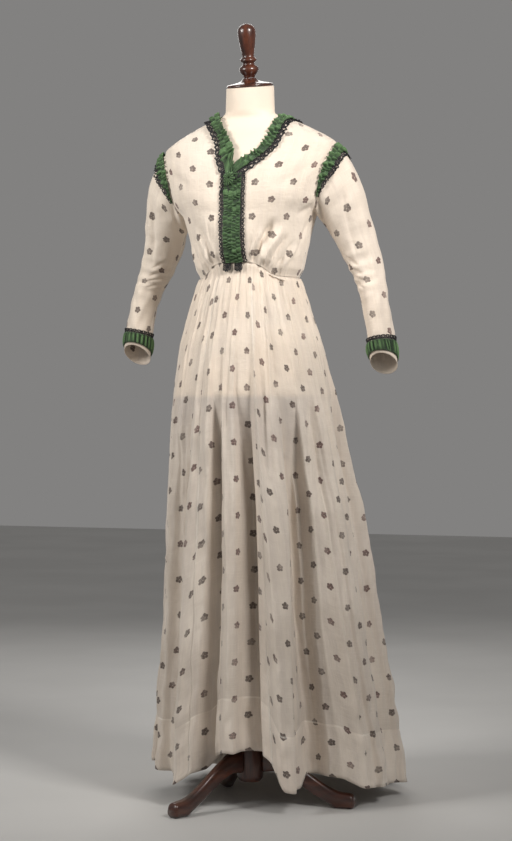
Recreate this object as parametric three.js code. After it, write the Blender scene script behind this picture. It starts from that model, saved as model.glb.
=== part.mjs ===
// A day dress of printed muslin with green silk and black lace trimming, worn by a dress form
// on a turned three-legged stand.
// Millimetres, +Z up, floor at Z = 0. The dress faces -Y and the wearer's left is +X.
// Angles round the body are in degrees from the front, -Y, towards +X.

import * as THREE from "three";

// ---------------------------------------------------------------- driving dimensions

const MUSLIN = 1.2; // thickness of the dress cloth
const SILK = 1.2; // thickness of the gathered silk
const LACE = 1.0; // thickness of the lace
const SEAM = 0.4; // space left between two pieces that are sewn together
const LIE = 1.1; // space between a trimming and the cloth it lies on, over its facets

const UNDERARM_Z = 1204; // lowest point of the armhole
const SHOULDER_Z = 1343; // highest point of the armhole
const NECK_SIDE_Z = 1402; // neckline at the side of the neck
const NECK_BACK_Z = 1394; // neckline at the centre back
const NECK_FRONT_Z = 1301; // bottom of the V neck
const WAIST_SIDE_Z = 1074; // waist seam at the sides and back
const WAIST_RISE = 29; // how much higher the seam runs at the centre front
const WAIST_RISE_ANGLE = 38; // how far round the rise reaches

const BODICE_COLUMNS = 14;
const SLEEVE_COLUMNS = 14;
const GATHER_CROWDING = 1.35; // the bodice's columns crowd towards the centre front

const TORSO_BOTTOM_Z = 832;
const NECK_TOP_Z = 1468;
const NECK_LEAN = 10; // forward lean of the neck's top, its cap and finial
const LEG_REACH = 200; // from the pole's axis to the middle of each foot
const LEG_ANGLES = { front: -23, left: 97, back: 217 };

// Outer surface of the bodice: half width, depth to the front and depth to the back.
const BODICE = [
  { z: 1060, half: 103, front: 82, back: 78 },
  { z: 1084, half: 105, front: 84, back: 80 },
  { z: 1125, half: 115, front: 92, back: 87 },
  { z: 1150, half: 124, front: 97, back: 93 },
  { z: 1199, half: 140, front: 108, back: 103 },
  { z: 1231, half: 164, front: 109, back: 108 },
  { z: 1268, half: 176, front: 103, back: 108 },
  { z: 1303, half: 184, front: 89, back: 100 },
  { z: 1330, half: 188, front: 73, back: 87 },
  { z: 1343, half: 187, front: 67, back: 79 },
  { z: 1358, half: 170, front: 61, back: 71 },
  { z: 1375, half: 139, front: 56, back: 63 },
  { z: 1390, half: 108, front: 51, back: 57 },
  { z: 1400, half: 80, front: 48, back: 53 },
  { z: 1410, half: 56, front: 46, back: 50 },
];

// Neckline of each front, as the angle at which it crosses each height.
const NECKLINE_LEFT = [
  { z: NECK_FRONT_Z, angle: 0.2 },
  { z: 1328, angle: 12 },
  { z: 1350, angle: 18 },
  { z: 1365, angle: 23 },
  { z: 1385, angle: 34 },
  { z: 1397, angle: 52 },
  { z: NECK_SIDE_Z, angle: 80 },
];
const NECKLINE_RIGHT = [
  { z: NECK_FRONT_Z, angle: 0.2 },
  { z: 1322, angle: 4 },
  { z: 1348, angle: 9 },
  { z: 1370, angle: 17 },
  { z: 1387, angle: 29 },
  { z: 1397, angle: 46 },
  { z: NECK_SIDE_Z, angle: 80 },
];

// Envelope of the skirt: half width, half depth, and how far back its middle lies.
const SKIRT = [
  { z: 1110, half: 108, depth: 85, middle: -1 },
  { z: 1084, half: 104, depth: 82, middle: -2 },
  { z: 1060, half: 112, depth: 90, middle: -1 },
  { z: 1018, half: 125, depth: 102, middle: 0 },
  { z: 986, half: 134, depth: 110, middle: 2 },
  { z: 937, half: 150, depth: 124, middle: 6 },
  { z: 887, half: 161, depth: 135, middle: 11 },
  { z: 838, half: 170, depth: 144, middle: 17 },
  { z: 773, half: 181, depth: 156, middle: 27 },
  { z: 674, half: 193, depth: 172, middle: 48 },
  { z: 609, half: 204, depth: 184, middle: 62 },
  { z: 478, half: 217, depth: 205, middle: 86 },
  { z: 346, half: 229, depth: 224, middle: 104 },
  { z: 215, half: 246, depth: 242, middle: 121 },
  { z: 80, half: 261, depth: 253, middle: 138 },
  { z: 0, half: 268, depth: 262, middle: 149 },
];

// The skirt's large folds: each ridge (out > 0) and trough (out < 0) at the hem.
const FOLDS = [
  { angle: -162, out: -16 },
  { angle: -148, out: 20 },
  { angle: -134, out: -22 },
  { angle: -118, out: 16 },
  { angle: -103, out: -20 },
  { angle: -88, out: 12 },
  { angle: -76, out: -14 },
  { angle: -60, out: 8 },
  { angle: -38, out: -22 },
  { angle: -25, out: 16 },
  { angle: -9, out: -24 },
  { angle: 0, out: 6 },
  { angle: 13, out: -24 },
  { angle: 25, out: 16 },
  { angle: 45, out: -46 },
  { angle: 68, out: 12 },
  { angle: 86, out: -4 },
  { angle: 101, out: 14 },
  { angle: 116, out: -18 },
  { angle: 130, out: 14 },
  { angle: 146, out: -26 },
  { angle: 162, out: 22 },
  { angle: 178, out: -20 },
  { angle: 190, out: 18 },
];

// Height of the hem round the skirt: lifted over the front foot, lowest behind.
const HEM = [
  { angle: -130, z: 20 },
  { angle: -100, z: 44 },
  { angle: -75, z: 68 },
  { angle: -58, z: 62 },
  { angle: -40, z: 52 },
  { angle: -28, z: 46 },
  { angle: -18, z: 76 },
  { angle: -10, z: 108 },
  { angle: 0, z: 121 },
  { angle: 14, z: 118 },
  { angle: 19, z: 106 },
  { angle: 25, z: 48 },
  { angle: 33, z: 44 },
  { angle: 41, z: 66 },
  { angle: 54, z: 64 },
  { angle: 64, z: 42 },
  { angle: 84, z: 36 },
  { angle: 104, z: 28 },
  { angle: 140, z: 18 },
  { angle: 180, z: 14 },
];

// Sleeve rings from the armhole to the cuff: centre, the two radii, the lift of the ring's
// outer side above level, and the rise of its front side.
const SLEEVE = [
  { along: 0, x: 166, y: 0, z: 1273, high: 70, deep: 37, lift: 72, rise: 0 },
  { along: 0.08, x: 181, y: 6, z: 1255, high: 64, deep: 43, lift: 58, rise: 0 },
  { along: 0.17, x: 193, y: 18, z: 1225, high: 54, deep: 47, lift: 40, rise: 0 },
  { along: 0.28, x: 203, y: 31, z: 1190, high: 46, deep: 47, lift: 24, rise: 0 },
  { along: 0.38, x: 214, y: 44, z: 1155, high: 41, deep: 46, lift: 16, rise: 0 },
  { along: 0.5, x: 230, y: 52, z: 1110, high: 36, deep: 42, lift: 14, rise: -3 },
  { along: 0.6, x: 243, y: 50, z: 1072, high: 31, deep: 36, lift: 12, rise: 2 },
  { along: 0.7, x: 252, y: 45, z: 1040, high: 28, deep: 33, lift: 12, rise: 6 },
  { along: 0.79, x: 260, y: 41, z: 1005, high: 27, deep: 31, lift: 11, rise: 6 },
  { along: 0.88, x: 267, y: 40, z: 965, high: 27.5, deep: 31, lift: 10, rise: 6 },
  { along: 0.94, x: 271, y: 39, z: 940, high: 28, deep: 31, lift: 8, rise: 12 },
  { along: 1, x: 275, y: 40, z: 900, high: 28, deep: 33, lift: 4, rise: 38 },
];
const RIGHT_SLEEVE_LIFT = 24; // the right cuff hangs this much higher than the left

// The dress form under the cloth, from its flat bottom to the base of its neck.
const FORM = [
  { z: TORSO_BOTTOM_Z, half: 140, front: 108, back: 108 },
  { z: 840, half: 145, front: 113, back: 114 },
  { z: 900, half: 143, front: 108, back: 114 },
  { z: 960, half: 132, front: 96, back: 106 },
  { z: 1020, half: 114, front: 84, back: 90 },
  { z: 1060, half: 101, front: 77, back: 76 },
  { z: 1090, half: 98, front: 76, back: 73 },
  { z: 1125, half: 103, front: 79, back: 77 },
  { z: 1160, half: 116, front: 88, back: 87 },
];
// Space between the cloth and the form above its waist; the cloth rests on the shoulders.
const FORM_EASE = [
  { z: 1199, ease: 7 },
  { z: 1268, ease: 6 },
  { z: 1303, ease: 5 },
  { z: 1326, ease: 3.6 },
  { z: SHOULDER_Z, ease: 2.3 },
  { z: 1374, ease: 1.4 },
  { z: 1389, ease: 4 },
  { z: NECK_SIDE_Z, ease: 7 },
];
const FORM_UPPER_ROWS = [1199, 1231, 1268, 1303, 1326, SHOULDER_Z, 1358, 1374, 1389, NECK_SIDE_Z];
const NECK = [
  { z: 1414, half: 51, front: 44, back: 50 },
  { z: 1440, half: 50, front: 46, back: 49 },
  { z: NECK_TOP_Z, half: 49, front: 47, back: 49 },
];

// ---------------------------------------------------------------- colours

const FINISHES = {
  muslin: { color: 0xe9e3d3, roughness: 0.85, metalness: 0 },
  silk: { color: 0x2c5a33, roughness: 0.55, metalness: 0 },
  lace: { color: 0x17161a, roughness: 0.7, metalness: 0 },
  form: { color: 0xefe6d2, roughness: 0.8, metalness: 0 },
  wood: { color: 0x3a1c12, roughness: 0.3, metalness: 0 },
};

const dress = new THREE.Group();

/** Add a named piece with its finish. */
function add(name, geometry, finish) {
  const mesh = new THREE.Mesh(geometry, new THREE.MeshStandardMaterial(FINISHES[finish]));
  mesh.name = name;
  dress.add(mesh);
  return mesh;
}

// ---------------------------------------------------------------- curves and walls

const rad = THREE.MathUtils.degToRad;
const lerp = THREE.MathUtils.lerp;
const smooth = THREE.MathUtils.smoothstep;

/** Smooth curve through one column of a table, without overshoot between its rows. */
function curve(rows, key, column, period = 0) {
  const knots = rows.map((row) => [row[key], row[column]]).sort((p, q) => p[0] - q[0]);
  if (period) {
    const [first, second] = knots;
    const [beforeLast, last] = knots.slice(-2);
    knots.unshift([beforeLast[0] - period, beforeLast[1]], [last[0] - period, last[1]]);
    knots.push([first[0] + period, first[1]], [second[0] + period, second[1]]);
  }
  const secants = knots.slice(1).map((knot, i) => (knot[1] - knots[i][1]) / (knot[0] - knots[i][0]));
  const slopes = knots.map((_, i) => {
    const before = secants[i - 1] ?? secants[i];
    const after = secants[i] ?? secants[i - 1];
    return before * after <= 0 ? 0 : (2 * before * after) / (before + after);
  });
  const low = knots[0][0];
  const high = knots[knots.length - 1][0];
  return (value) => {
    const at = THREE.MathUtils.clamp(period ? wrap(value, rows, key, period) : value, low, high);
    let i = 0;
    while (i < secants.length - 1 && at > knots[i + 1][0]) i += 1;
    const span = knots[i + 1][0] - knots[i][0];
    const t = (at - knots[i][0]) / span;
    const rest = 1 - t;
    return (
      knots[i][1] * (1 + 2 * t) * rest * rest +
      knots[i + 1][1] * t * t * (3 - 2 * t) +
      span * t * rest * (slopes[i] * rest - slopes[i + 1] * t)
    );
  };
}

/** An angle brought into the turn that a table covers. */
function wrap(value, rows, key, period) {
  const start = Math.min(...rows.map((row) => row[key]));
  return start + (((value - start) % period) + period) % period;
}

/** Every column of a table as a curve along its key. */
function curves(rows, key, period = 0) {
  const columns = Object.keys(rows[0]).filter((column) => column !== key);
  return Object.fromEntries(columns.map((column) => [column, curve(rows, key, column, period)]));
}

/** Outward unit normal of a surface, by small steps either way. */
function normalOf(surface, u, v) {
  const alongU = surface(u + 0.4, v).sub(surface(u - 0.4, v));
  const alongV = surface(u, v + surface.step).sub(surface(u, v - surface.step));
  return alongU.cross(alongV).multiplyScalar(surface.facing).normalize();
}

/** A surface function with its side that faces out and its small step in v. */
function facing(surface, sign, step = 0.5) {
  return Object.assign(surface, { facing: sign, step });
}

/**
 * Closed wall: a grid of outer points and the same grid moved inward.
 * sheet(i, j) gives { point, normal, thickness }; isOpen(i, j) leaves a cell out.
 */
function wall(columns, rows, sheet, { thickness = MUSLIN, around = false, isOpen = () => false } = {}) {
  const lines = around ? columns : columns + 1;
  const outer = [];
  const inner = [];
  for (let i = 0; i < lines; i += 1) {
    for (let j = 0; j <= rows; j += 1) {
      const { point, normal } = sheet(i, j);
      outer.push(point.x, point.y, point.z);
      const under = point.clone().addScaledVector(normal, -thickness);
      inner.push(under.x, under.y, under.z);
    }
  }
  const count = lines * (rows + 1);
  const at = (i, j) => (i % lines) * (rows + 1) + j;
  const filled = (i, j) => {
    const inside = around || (i >= 0 && i < columns);
    const column = around ? (i + columns) % columns : i;
    return inside && j >= 0 && j < rows && !isOpen(column, j);
  };
  const index = [];
  const side = (p, q) => index.push(q, p, p + count, q, p + count, q + count);
  for (let i = 0; i < columns; i += 1) {
    for (let j = 0; j < rows; j += 1) {
      if (!filled(i, j)) continue;
      const [a, b, c, d] = [at(i, j), at(i + 1, j), at(i + 1, j + 1), at(i, j + 1)];
      index.push(a, b, c, a, c, d);
      index.push(a + count, c + count, b + count, a + count, d + count, c + count);
      if (!filled(i, j - 1)) side(a, b);
      if (!filled(i + 1, j)) side(b, c);
      if (!filled(i, j + 1)) side(c, d);
      if (!filled(i - 1, j)) side(d, a);
    }
  }
  return closed([...outer, ...inner], index);
}

/** Closed body through rings of points, with a flat cap at each end. */
function body(rings) {
  const size = rings[0].length;
  const positions = rings.flat().flatMap((point) => point.toArray());
  const ends = [rings[0], rings[rings.length - 1]].map((ring) => {
    const middle = ring.reduce((sum, point) => sum.add(point), new THREE.Vector3());
    return middle.divideScalar(size);
  });
  const index = [];
  for (let j = 0; j < rings.length - 1; j += 1) {
    for (let i = 0; i < size; i += 1) {
      const next = (i + 1) % size;
      const [a, b, c, d] = [j * size + i, j * size + next, (j + 1) * size + next, (j + 1) * size + i];
      index.push(a, b, c, a, c, d);
    }
  }
  const first = positions.length / 3;
  const lastRing = (rings.length - 1) * size;
  positions.push(...ends[0].toArray(), ...ends[1].toArray());
  for (let i = 0; i < size; i += 1) {
    const next = (i + 1) % size;
    index.push(first, next, i, first + 1, lastRing + i, lastRing + next);
  }
  return closed(positions, index);
}

/** A geometry whose faces all point out of the solid. */
function closed(positions, index) {
  let volume = 0;
  const corner = (k) => new THREE.Vector3().fromArray(positions, index[k] * 3);
  for (let k = 0; k < index.length; k += 3) {
    volume += corner(k).dot(corner(k + 1).cross(corner(k + 2)));
  }
  const geometry = new THREE.BufferGeometry();
  geometry.setAttribute("position", new THREE.Float32BufferAttribute(positions, 3));
  geometry.setIndex(volume < 0 ? index.reverse() : index);
  geometry.computeVertexNormals();
  return geometry;
}

// ---------------------------------------------------------------- the body's surfaces

const bodiceAt = curves(BODICE, "z");
const skirtAt = curves(SKIRT, "z");
const foldAt = curve(FOLDS, "angle", "out", 360);
const hemAt = curve(HEM, "angle", "z", 360);
const sleeveAt = curves(SLEEVE, "along");

/** Height of the waist seam at an angle. */
function waistZ(angle) {
  const turn = (((angle + 180) % 360) + 360) % 360 - 180;
  return WAIST_SIDE_Z + WAIST_RISE * Math.exp(-((turn / WAIST_RISE_ANGLE) ** 4));
}

/** Point of an upright oval section. */
function section(angle, half, front, back, z) {
  const depth = Math.cos(rad(angle)) > 0 ? front : back;
  return new THREE.Vector3(half * Math.sin(rad(angle)), -depth * Math.cos(rad(angle)), z);
}

/** The fullness of a front over the waist and its gathers, as a distance outward. */
function bodiceFullness(angle, z) {
  const turn = Math.abs((((angle + 180) % 360) + 360) % 360 - 180);
  const rise = z - waistZ(angle);
  const blouse = 7 * smooth(rise, 0, 22) * (1 - smooth(rise, 30, 110));
  const place = BODICE_COLUMNS * (Math.min(turn, 90) / 90) ** (1 / GATHER_CROWDING);
  const gathered = smooth(turn, 14, 20) * (1 - smooth(turn, 50, 62)) * (1 - smooth(rise, 20, 130));
  const hollow = 11 * Math.exp(-((turn / 20) ** 2)) * smooth(z, 1150, 1215) * (1 - smooth(z, 1250, 1320));
  return blouse + 2 * gathered * Math.cos(Math.PI * place) - hollow;
}

/** Outer surface of the bodice. */
const bodice = facing((angle, z) => {
  const [half, front, back] = [bodiceAt.half(z), bodiceAt.front(z), bodiceAt.back(z)];
  const point = section(angle, half, front, back, z);
  const out = new THREE.Vector3(point.x / half ** 2, point.y / front ** 2, 0).normalize();
  return point.addScaledVector(out, bodiceFullness(angle, z));
}, 1);

/** The skirt's smooth envelope, swelled by a distance, without folds or gathers. */
function skirtEnvelope(angle, z, swell) {
  const [half, depth, middle] = [skirtAt.half(z), skirtAt.depth(z), skirtAt.middle(z)];
  const out = new THREE.Vector3(Math.sin(rad(angle)) * depth, -Math.cos(rad(angle)) * half, 0);
  const point = new THREE.Vector3(half * Math.sin(rad(angle)), middle - depth * Math.cos(rad(angle)), z);
  return point.addScaledVector(out.normalize(), swell);
}

const GATHER_ANGLE = 8; // one gather of the skirt at the waist
const GATHER_DEPTH = 2.4;

/** Outer surface of the skirt: envelope, large folds growing to the hem, and waist gathers. */
const skirt = facing((angle, z) => {
  const fall = waistZ(angle) - z;
  const growth = smooth(fall, 60, 950) * 0.88 + smooth(fall, 0, 300) * 0.12;
  const gather = GATHER_DEPTH * (1 - smooth(fall, 40, 330)) * Math.cos(rad((angle * 360) / GATHER_ANGLE));
  return skirtEnvelope(angle, z, foldAt(angle) * growth + gather);
}, 1);

/** Angle of the armhole's edge on the bodice at a height, in front or behind. */
function armholeAngle(z, behind) {
  const rise = THREE.MathUtils.clamp((z - UNDERARM_Z) / (SHOULDER_Z - UNDERARM_Z), 0, 1);
  const inset = 24 * Math.sqrt(Math.max(0, 4 * rise * (1 - rise)));
  return behind ? 90 + inset : 90 - inset;
}

/** Height on the armhole at a turn round it: 0 at the shoulder, 90 in front, 180 underneath. */
function armholeZ(turn) {
  return (UNDERARM_Z + SHOULDER_Z) / 2 + ((SHOULDER_Z - UNDERARM_Z) / 2) * Math.cos(rad(turn));
}

/** Bodice angle and height at a turn round the armhole of the wearer's left side. */
function armholePlace(turn) {
  const z = armholeZ(turn);
  const around = ((turn % 360) + 360) % 360;
  return { angle: armholeAngle(z, around > 180), z };
}

/** Ring of the left sleeve at a turn and a place along the arm. */
function sleeveRing(turn, along) {
  const lift = rad(sleeveAt.lift(along));
  const rise = rad(sleeveAt.rise(along));
  const outward = new THREE.Vector3(Math.cos(lift), 0, Math.sin(lift));
  const forward = new THREE.Vector3(0, -Math.cos(rise), Math.sin(rise));
  const centre = new THREE.Vector3(sleeveAt.x(along), sleeveAt.y(along), sleeveAt.z(along));
  return centre
    .addScaledVector(outward, sleeveAt.high(along) * Math.cos(rad(turn)))
    .addScaledVector(forward, sleeveAt.deep(along) * Math.sin(rad(turn)));
}

/** Soft folds of a sleeve: one long crease in front and short ones inside the elbow. */
function sleeveFold(turn, along) {
  const kept = smooth(along, 0.1, 0.3) * (1 - smooth(along, 0.55, 0.75));
  const long = -3.5 * Math.exp(-(((turn - 70) / 22) ** 2)) * kept;
  const bend = Math.exp(-(((along - 0.58) / 0.13) ** 2)) * Math.exp(-(((turn - 120) / 60) ** 2));
  const elbow = 1.8 * Math.cos(along * 95) * bend;
  return long + elbow;
}

/** Outer surface of the left sleeve. */
const sleeve = facing((turn, along) => {
  const place = armholePlace(turn);
  const edge = bodice(place.angle, place.z);
  const ring = sleeveRing(turn, Math.max(along, 0));
  const apart = 1 - (1 - THREE.MathUtils.clamp(along / 0.16, 0, 1)) ** 2;
  const point = edge.lerp(ring, apart);
  const toAxis = sleeveRing(turn, along).sub(sleeveRing(turn + 180, along)).normalize();
  return point.addScaledVector(toAxis, sleeveFold(((turn % 360) + 360) % 360, along));
}, 1, 0.004);

/** The same point, direction or surface on the wearer's other side. */
function mirrored(vector, side) {
  return new THREE.Vector3(vector.x * side, vector.y, vector.z);
}

// ---------------------------------------------------------------- the dress

const armTurns = Array.from({ length: SLEEVE_COLUMNS }, (_, k) => (k * 360) / SLEEVE_COLUMNS);

/** Normal shared by bodice and sleeve where they are sewn together. */
function armholeNormal(turn) {
  const place = armholePlace(turn);
  return normalOf(bodice, place.angle, place.z).add(normalOf(sleeve, turn, 0.03)).normalize();
}

// Heights of the bodice's rows: below the armhole, along it, and over the shoulder.
const LOWER_ROWS = [0, 14, 40, 84];
const ARMHOLE_TURNS = armTurns.filter((turn) => turn <= 180).reverse();
const SHOULDER_ROWS = [1358, 1374, 1389, NECK_SIDE_Z];
const BODICE_ROWS = LOWER_ROWS.length + ARMHOLE_TURNS.length + SHOULDER_ROWS.length - 1;

/** Height of a bodice row at an angle. */
function bodiceRowZ(row, angle) {
  if (row < LOWER_ROWS.length) {
    const base = waistZ(angle) + SEAM / 2;
    return base + (LOWER_ROWS[row] * (UNDERARM_Z - base)) / (UNDERARM_Z - WAIST_SIDE_Z);
  }
  const armholeRow = row - LOWER_ROWS.length;
  if (armholeRow < ARMHOLE_TURNS.length) return armholeZ(ARMHOLE_TURNS[armholeRow]);
  return SHOULDER_ROWS[armholeRow - ARMHOLE_TURNS.length];
}

/** One front of the bodice, from the centre front to the side seam and shoulder seam. */
function bodiceFront(side, neckline) {
  const necklineAngle = curve(neckline, "z", "angle");
  const seamAngle = (SEAM / 2 / 140) * (180 / Math.PI);
  return wall(BODICE_COLUMNS, BODICE_ROWS, (i, j) => {
    const across = (i / BODICE_COLUMNS) ** GATHER_CROWDING;
    const guess = bodiceRowZ(j, 90 * across);
    const first = guess <= NECK_FRONT_Z ? seamAngle : necklineAngle(guess);
    const onArmhole = guess > UNDERARM_Z && guess < SHOULDER_Z;
    const last = onArmhole ? armholeAngle(guess, false) : 90 - seamAngle;
    const angle = lerp(first, last, across);
    const z = bodiceRowZ(j, angle);
    const atArmhole = i === BODICE_COLUMNS && guess > UNDERARM_Z - 1 && guess < SHOULDER_Z + 1;
    const turn = ARMHOLE_TURNS[j - LOWER_ROWS.length];
    const normal = atArmhole ? armholeNormal(turn) : normalOf(bodice, angle, z);
    return { point: mirrored(bodice(angle, z), side), normal: mirrored(normal, side) };
  });
}

add("bodice_front_left", bodiceFront(1, NECKLINE_LEFT), "muslin");
add("bodice_front_right", bodiceFront(-1, NECKLINE_RIGHT), "muslin");

/** The back of the bodice, in one piece between the side seams. */
function bodiceBack() {
  const columns = 14;
  const neckDip = NECK_SIDE_Z - NECK_BACK_Z;
  const seamAngle = (SEAM / 2 / 140) * (180 / Math.PI);
  return wall(columns, BODICE_ROWS, (i, j) => {
    const across = i / columns;
    const rowZ = bodiceRowZ(j, 180);
    const onArmhole = rowZ > UNDERARM_Z && rowZ < SHOULDER_Z;
    const first = onArmhole ? armholeAngle(rowZ, true) : 90 + seamAngle;
    const angle = lerp(first, 360 - first, across);
    const dip = neckDip * Math.sin(Math.PI * across) * smooth(rowZ, SHOULDER_Z, NECK_SIDE_Z);
    const z = rowZ - dip;
    const side = i === 0 ? 1 : -1;
    const atArmhole = (i === 0 || i === columns) && rowZ > UNDERARM_Z - 1 && rowZ < SHOULDER_Z + 1;
    const turn = 360 - ARMHOLE_TURNS[j - LOWER_ROWS.length];
    const normal = atArmhole ? mirrored(armholeNormal(turn), side) : normalOf(bodice, angle, z);
    return { point: bodice(angle, z), normal };
  });
}

add("bodice_back", bodiceBack(), "muslin");

const SLEEVE_ROWS = [0, 0.045, 0.1, 0.18, 0.27, 0.37, 0.46, 0.53, 0.6, 0.68, 0.78, 0.88, 0.94, 1];

/** Point and normal of a sleeve on one side, lifted for the right arm towards the cuff. */
function sleevePlace(side, turn, along, out = 0) {
  const point = sleeve(turn, along);
  const normal = along <= 0 ? armholeNormal(turn) : normalOf(sleeve, turn, along);
  point.addScaledVector(normal, out);
  if (side < 0) point.z += RIGHT_SLEEVE_LIFT * smooth(along, 0.3, 1);
  return { point: mirrored(point, side), normal: mirrored(normal, side) };
}

for (const [side, name] of [[1, "left"], [-1, "right"]]) {
  const geometry = wall(
    SLEEVE_COLUMNS,
    SLEEVE_ROWS.length - 1,
    (i, j) => {
      const place = sleevePlace(side, armTurns[i], SLEEVE_ROWS[j]);
      if (j === 0) {
        const next = sleevePlace(side, armTurns[i], 0.06).point;
        place.point.addScaledVector(next.sub(place.point).normalize(), SEAM * 1.5);
      }
      return place;
    },
    { around: true },
  );
  add(`sleeve_${name}`, geometry, "muslin");
}

// Skirt breadths between their seams.
const BREADTHS = [
  { name: "front", from: -20, to: 20 },
  { name: "side_left", from: 20, to: 108 },
  { name: "back", from: 108, to: 252 },
  { name: "side_right", from: -108, to: -20 },
];
const SKIRT_COLUMN = GATHER_ANGLE / 3;
const SKIRT_ROWS = [0, 0.025, 0.08, 0.18, 0.34, 0.56, 0.8, 1];

/** Height of a place on the skirt: drop 0 at the waist seam and 1 at the hem. */
function skirtZ(angle, drop) {
  return lerp(waistZ(angle) - SEAM / 2, hemAt(angle), drop);
}

for (const { name, from, to } of BREADTHS) {
  const columns = Math.round((to - from) / SKIRT_COLUMN);
  const geometry = wall(columns, SKIRT_ROWS.length - 1, (i, j) => {
    const drop = SKIRT_ROWS[j];
    const gap = (SEAM / lerp(90, 260, drop)) * (180 / Math.PI);
    const angle = lerp(from + gap / 2, to - gap / 2, i / columns);
    const z = skirtZ(angle, drop);
    return { point: skirt(angle, z), normal: normalOf(skirt, angle, z) };
  });
  add(`skirt_${name}`, geometry, "muslin");
}

// ---------------------------------------------------------------- strips laid on the cloth

/** Surface place nearest to a target, from a starting place. */
function nearest(surface, start, target) {
  let { u, v } = start;
  for (let round = 0; round < 5; round += 1) {
    const here = surface(u, v);
    const alongU = surface(u + 0.2, v).sub(surface(u - 0.2, v)).divideScalar(0.4);
    const dv = surface.step;
    const alongV = surface(u, v + dv).sub(surface(u, v - dv)).divideScalar(2 * dv);
    const miss = target.clone().sub(here);
    const [uu, uv, vv] = [alongU.dot(alongU), alongU.dot(alongV), alongV.dot(alongV)];
    const [mu, mv] = [miss.dot(alongU), miss.dot(alongV)];
    const scale = uu * vv - uv * uv;
    u += (mu * vv - mv * uv) / scale;
    v += (mv * uu - mu * uv) / scale;
  }
  return { u, v };
}

/** Path over a surface through knots, walked by the length travelled. */
function pathOn(surface, knots) {
  const spline = new THREE.SplineCurve(knots.map(([u, v]) => new THREE.Vector2(u, v)));
  const steps = 300;
  const places = Array.from({ length: steps + 1 }, (_, k) => spline.getPoint(k / steps));
  const lengths = [0];
  for (let k = 1; k <= steps; k += 1) {
    const [p, q] = [places[k - 1], places[k]];
    lengths.push(lengths[k - 1] + surface(p.x, p.y).distanceTo(surface(q.x, q.y)));
  }
  const total = lengths[steps];
  const at = (distance) => {
    const wanted = THREE.MathUtils.clamp(distance, 0, total);
    let k = 1;
    while (k < steps && lengths[k] < wanted) k += 1;
    const share = (wanted - lengths[k - 1]) / (lengths[k] - lengths[k - 1] || 1);
    return places[k - 1].clone().lerp(places[k], share);
  };
  return { surface, total, at };
}

/**
 * Place beside a path: distance along it, distance across it, and a lift off the surface.
 * sideways turns the way across, as at a mitred end.
 */
function beside(path, along, across, lift, sideways = 0) {
  const { surface } = path;
  const here = path.at(along);
  const before = path.at(along - 1.5);
  const after = path.at(along + 1.5);
  const tangent = surface(after.x, after.y).sub(surface(before.x, before.y)).normalize();
  const up = normalOf(surface, here.x, here.y);
  const square = up.clone().cross(tangent).normalize();
  const way = square.clone().addScaledVector(tangent, sideways);
  const target = surface(here.x, here.y).addScaledVector(way, across);
  const place = nearest(surface, { u: here.x, v: here.y }, target);
  const normal = normalOf(surface, place.u, place.v);
  return { point: surface(place.u, place.v).addScaledVector(normal, lift), normal };
}

/** Gathered strip beside a path: waves across its width, flat at both edges. */
function ruche(path, { from, to, waves, height, mitre = () => 0, start = 0, end = 0, lie = LIE }) {
  const rows = 3;
  const columns = waves * 2;
  const length = path.total - start - end;
  return wall(columns, rows, (i, j) => {
    const puff = j === 0 || j === rows ? 0.12 : 1;
    const wave = 0.5 + 0.5 * Math.cos(Math.PI * (i + (j > 1 ? 1 : 0)));
    const lift = lie + SILK + height * puff * (0.3 + 0.7 * wave);
    const along = start + (length * i) / columns;
    return beside(path, along, lerp(from, to, j / rows), lift, mitre(along));
  }, { thickness: SILK });
}

/** Scalloped lace beside a path, with one eyelet cut through in each repeat. */
function lace(path, { from, to, repeats, mitre = () => 0, start = 0, end = 0, lie = LIE }) {
  const length = path.total - start - end;
  const width = to - from;
  const edges = [0, 0.3, 0.74, 1];
  return wall(repeats * 2, 3, (i, j) => {
    const scallop = j === 3 ? (i % 2 ? 0.12 : -0.1) * width : 0;
    const along = start + (length * i) / (repeats * 2);
    return beside(path, along, from + edges[j] * width + scallop, lie + LACE, mitre(along));
  }, { thickness: LACE, isOpen: (i, j) => i % 2 === 1 && j === 1 && i < repeats * 2 - 1 });
}

// ---------------------------------------------------------------- green silk and black lace

const RUCHE_WIDTH = 21;
const NECK_LACE_WIDTH = 14;

/** Neckline from the V, up the wearer's right, round the back and down the left. */
const necklinePath = pathOn(bodice, [
  ...NECKLINE_RIGHT.map(({ z, angle }) => [-angle, z]),
  ...[-100, -130, -180, -230, -260].map((angle) => {
    const away = Math.abs(angle + 180) / 80;
    return [angle, lerp(NECK_BACK_Z, NECK_SIDE_Z, Math.min(1, away) ** 1.5)];
  }),
  ...NECKLINE_LEFT.map(({ z, angle }) => [angle - 360, z]).reverse(),
]);

/** Turns the ends of the neck trimming upright, so that both sides meet in one line. */
const MITRE = 1.9;
const MITRE_REACH = 30;

function neckMitre(along) {
  const fromEnd = Math.min(along, necklinePath.total - along);
  const sign = along < necklinePath.total / 2 ? -1 : 1;
  return sign * MITRE * (1 - smooth(fromEnd, 0, MITRE_REACH));
}

add("neck_ruche", ruche(necklinePath, {
  from: 0.5,
  to: RUCHE_WIDTH,
  waves: 26,
  height: 3,
  mitre: neckMitre,
}), "silk");

add("neck_lace", lace(necklinePath, {
  from: RUCHE_WIDTH + 1.2,
  to: RUCHE_WIDTH + NECK_LACE_WIDTH,
  repeats: 24,
  start: 12,
  end: 12,
  lie: LIE + 0.4,
}), "lace");

// The plastron hangs down the closing from the V to the waist, a little to the wearer's left.
const PLASTRON = { x: 3, top: 1250, bottom: 1107, left: 17.5, right: 20, lace: 10 };

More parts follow.
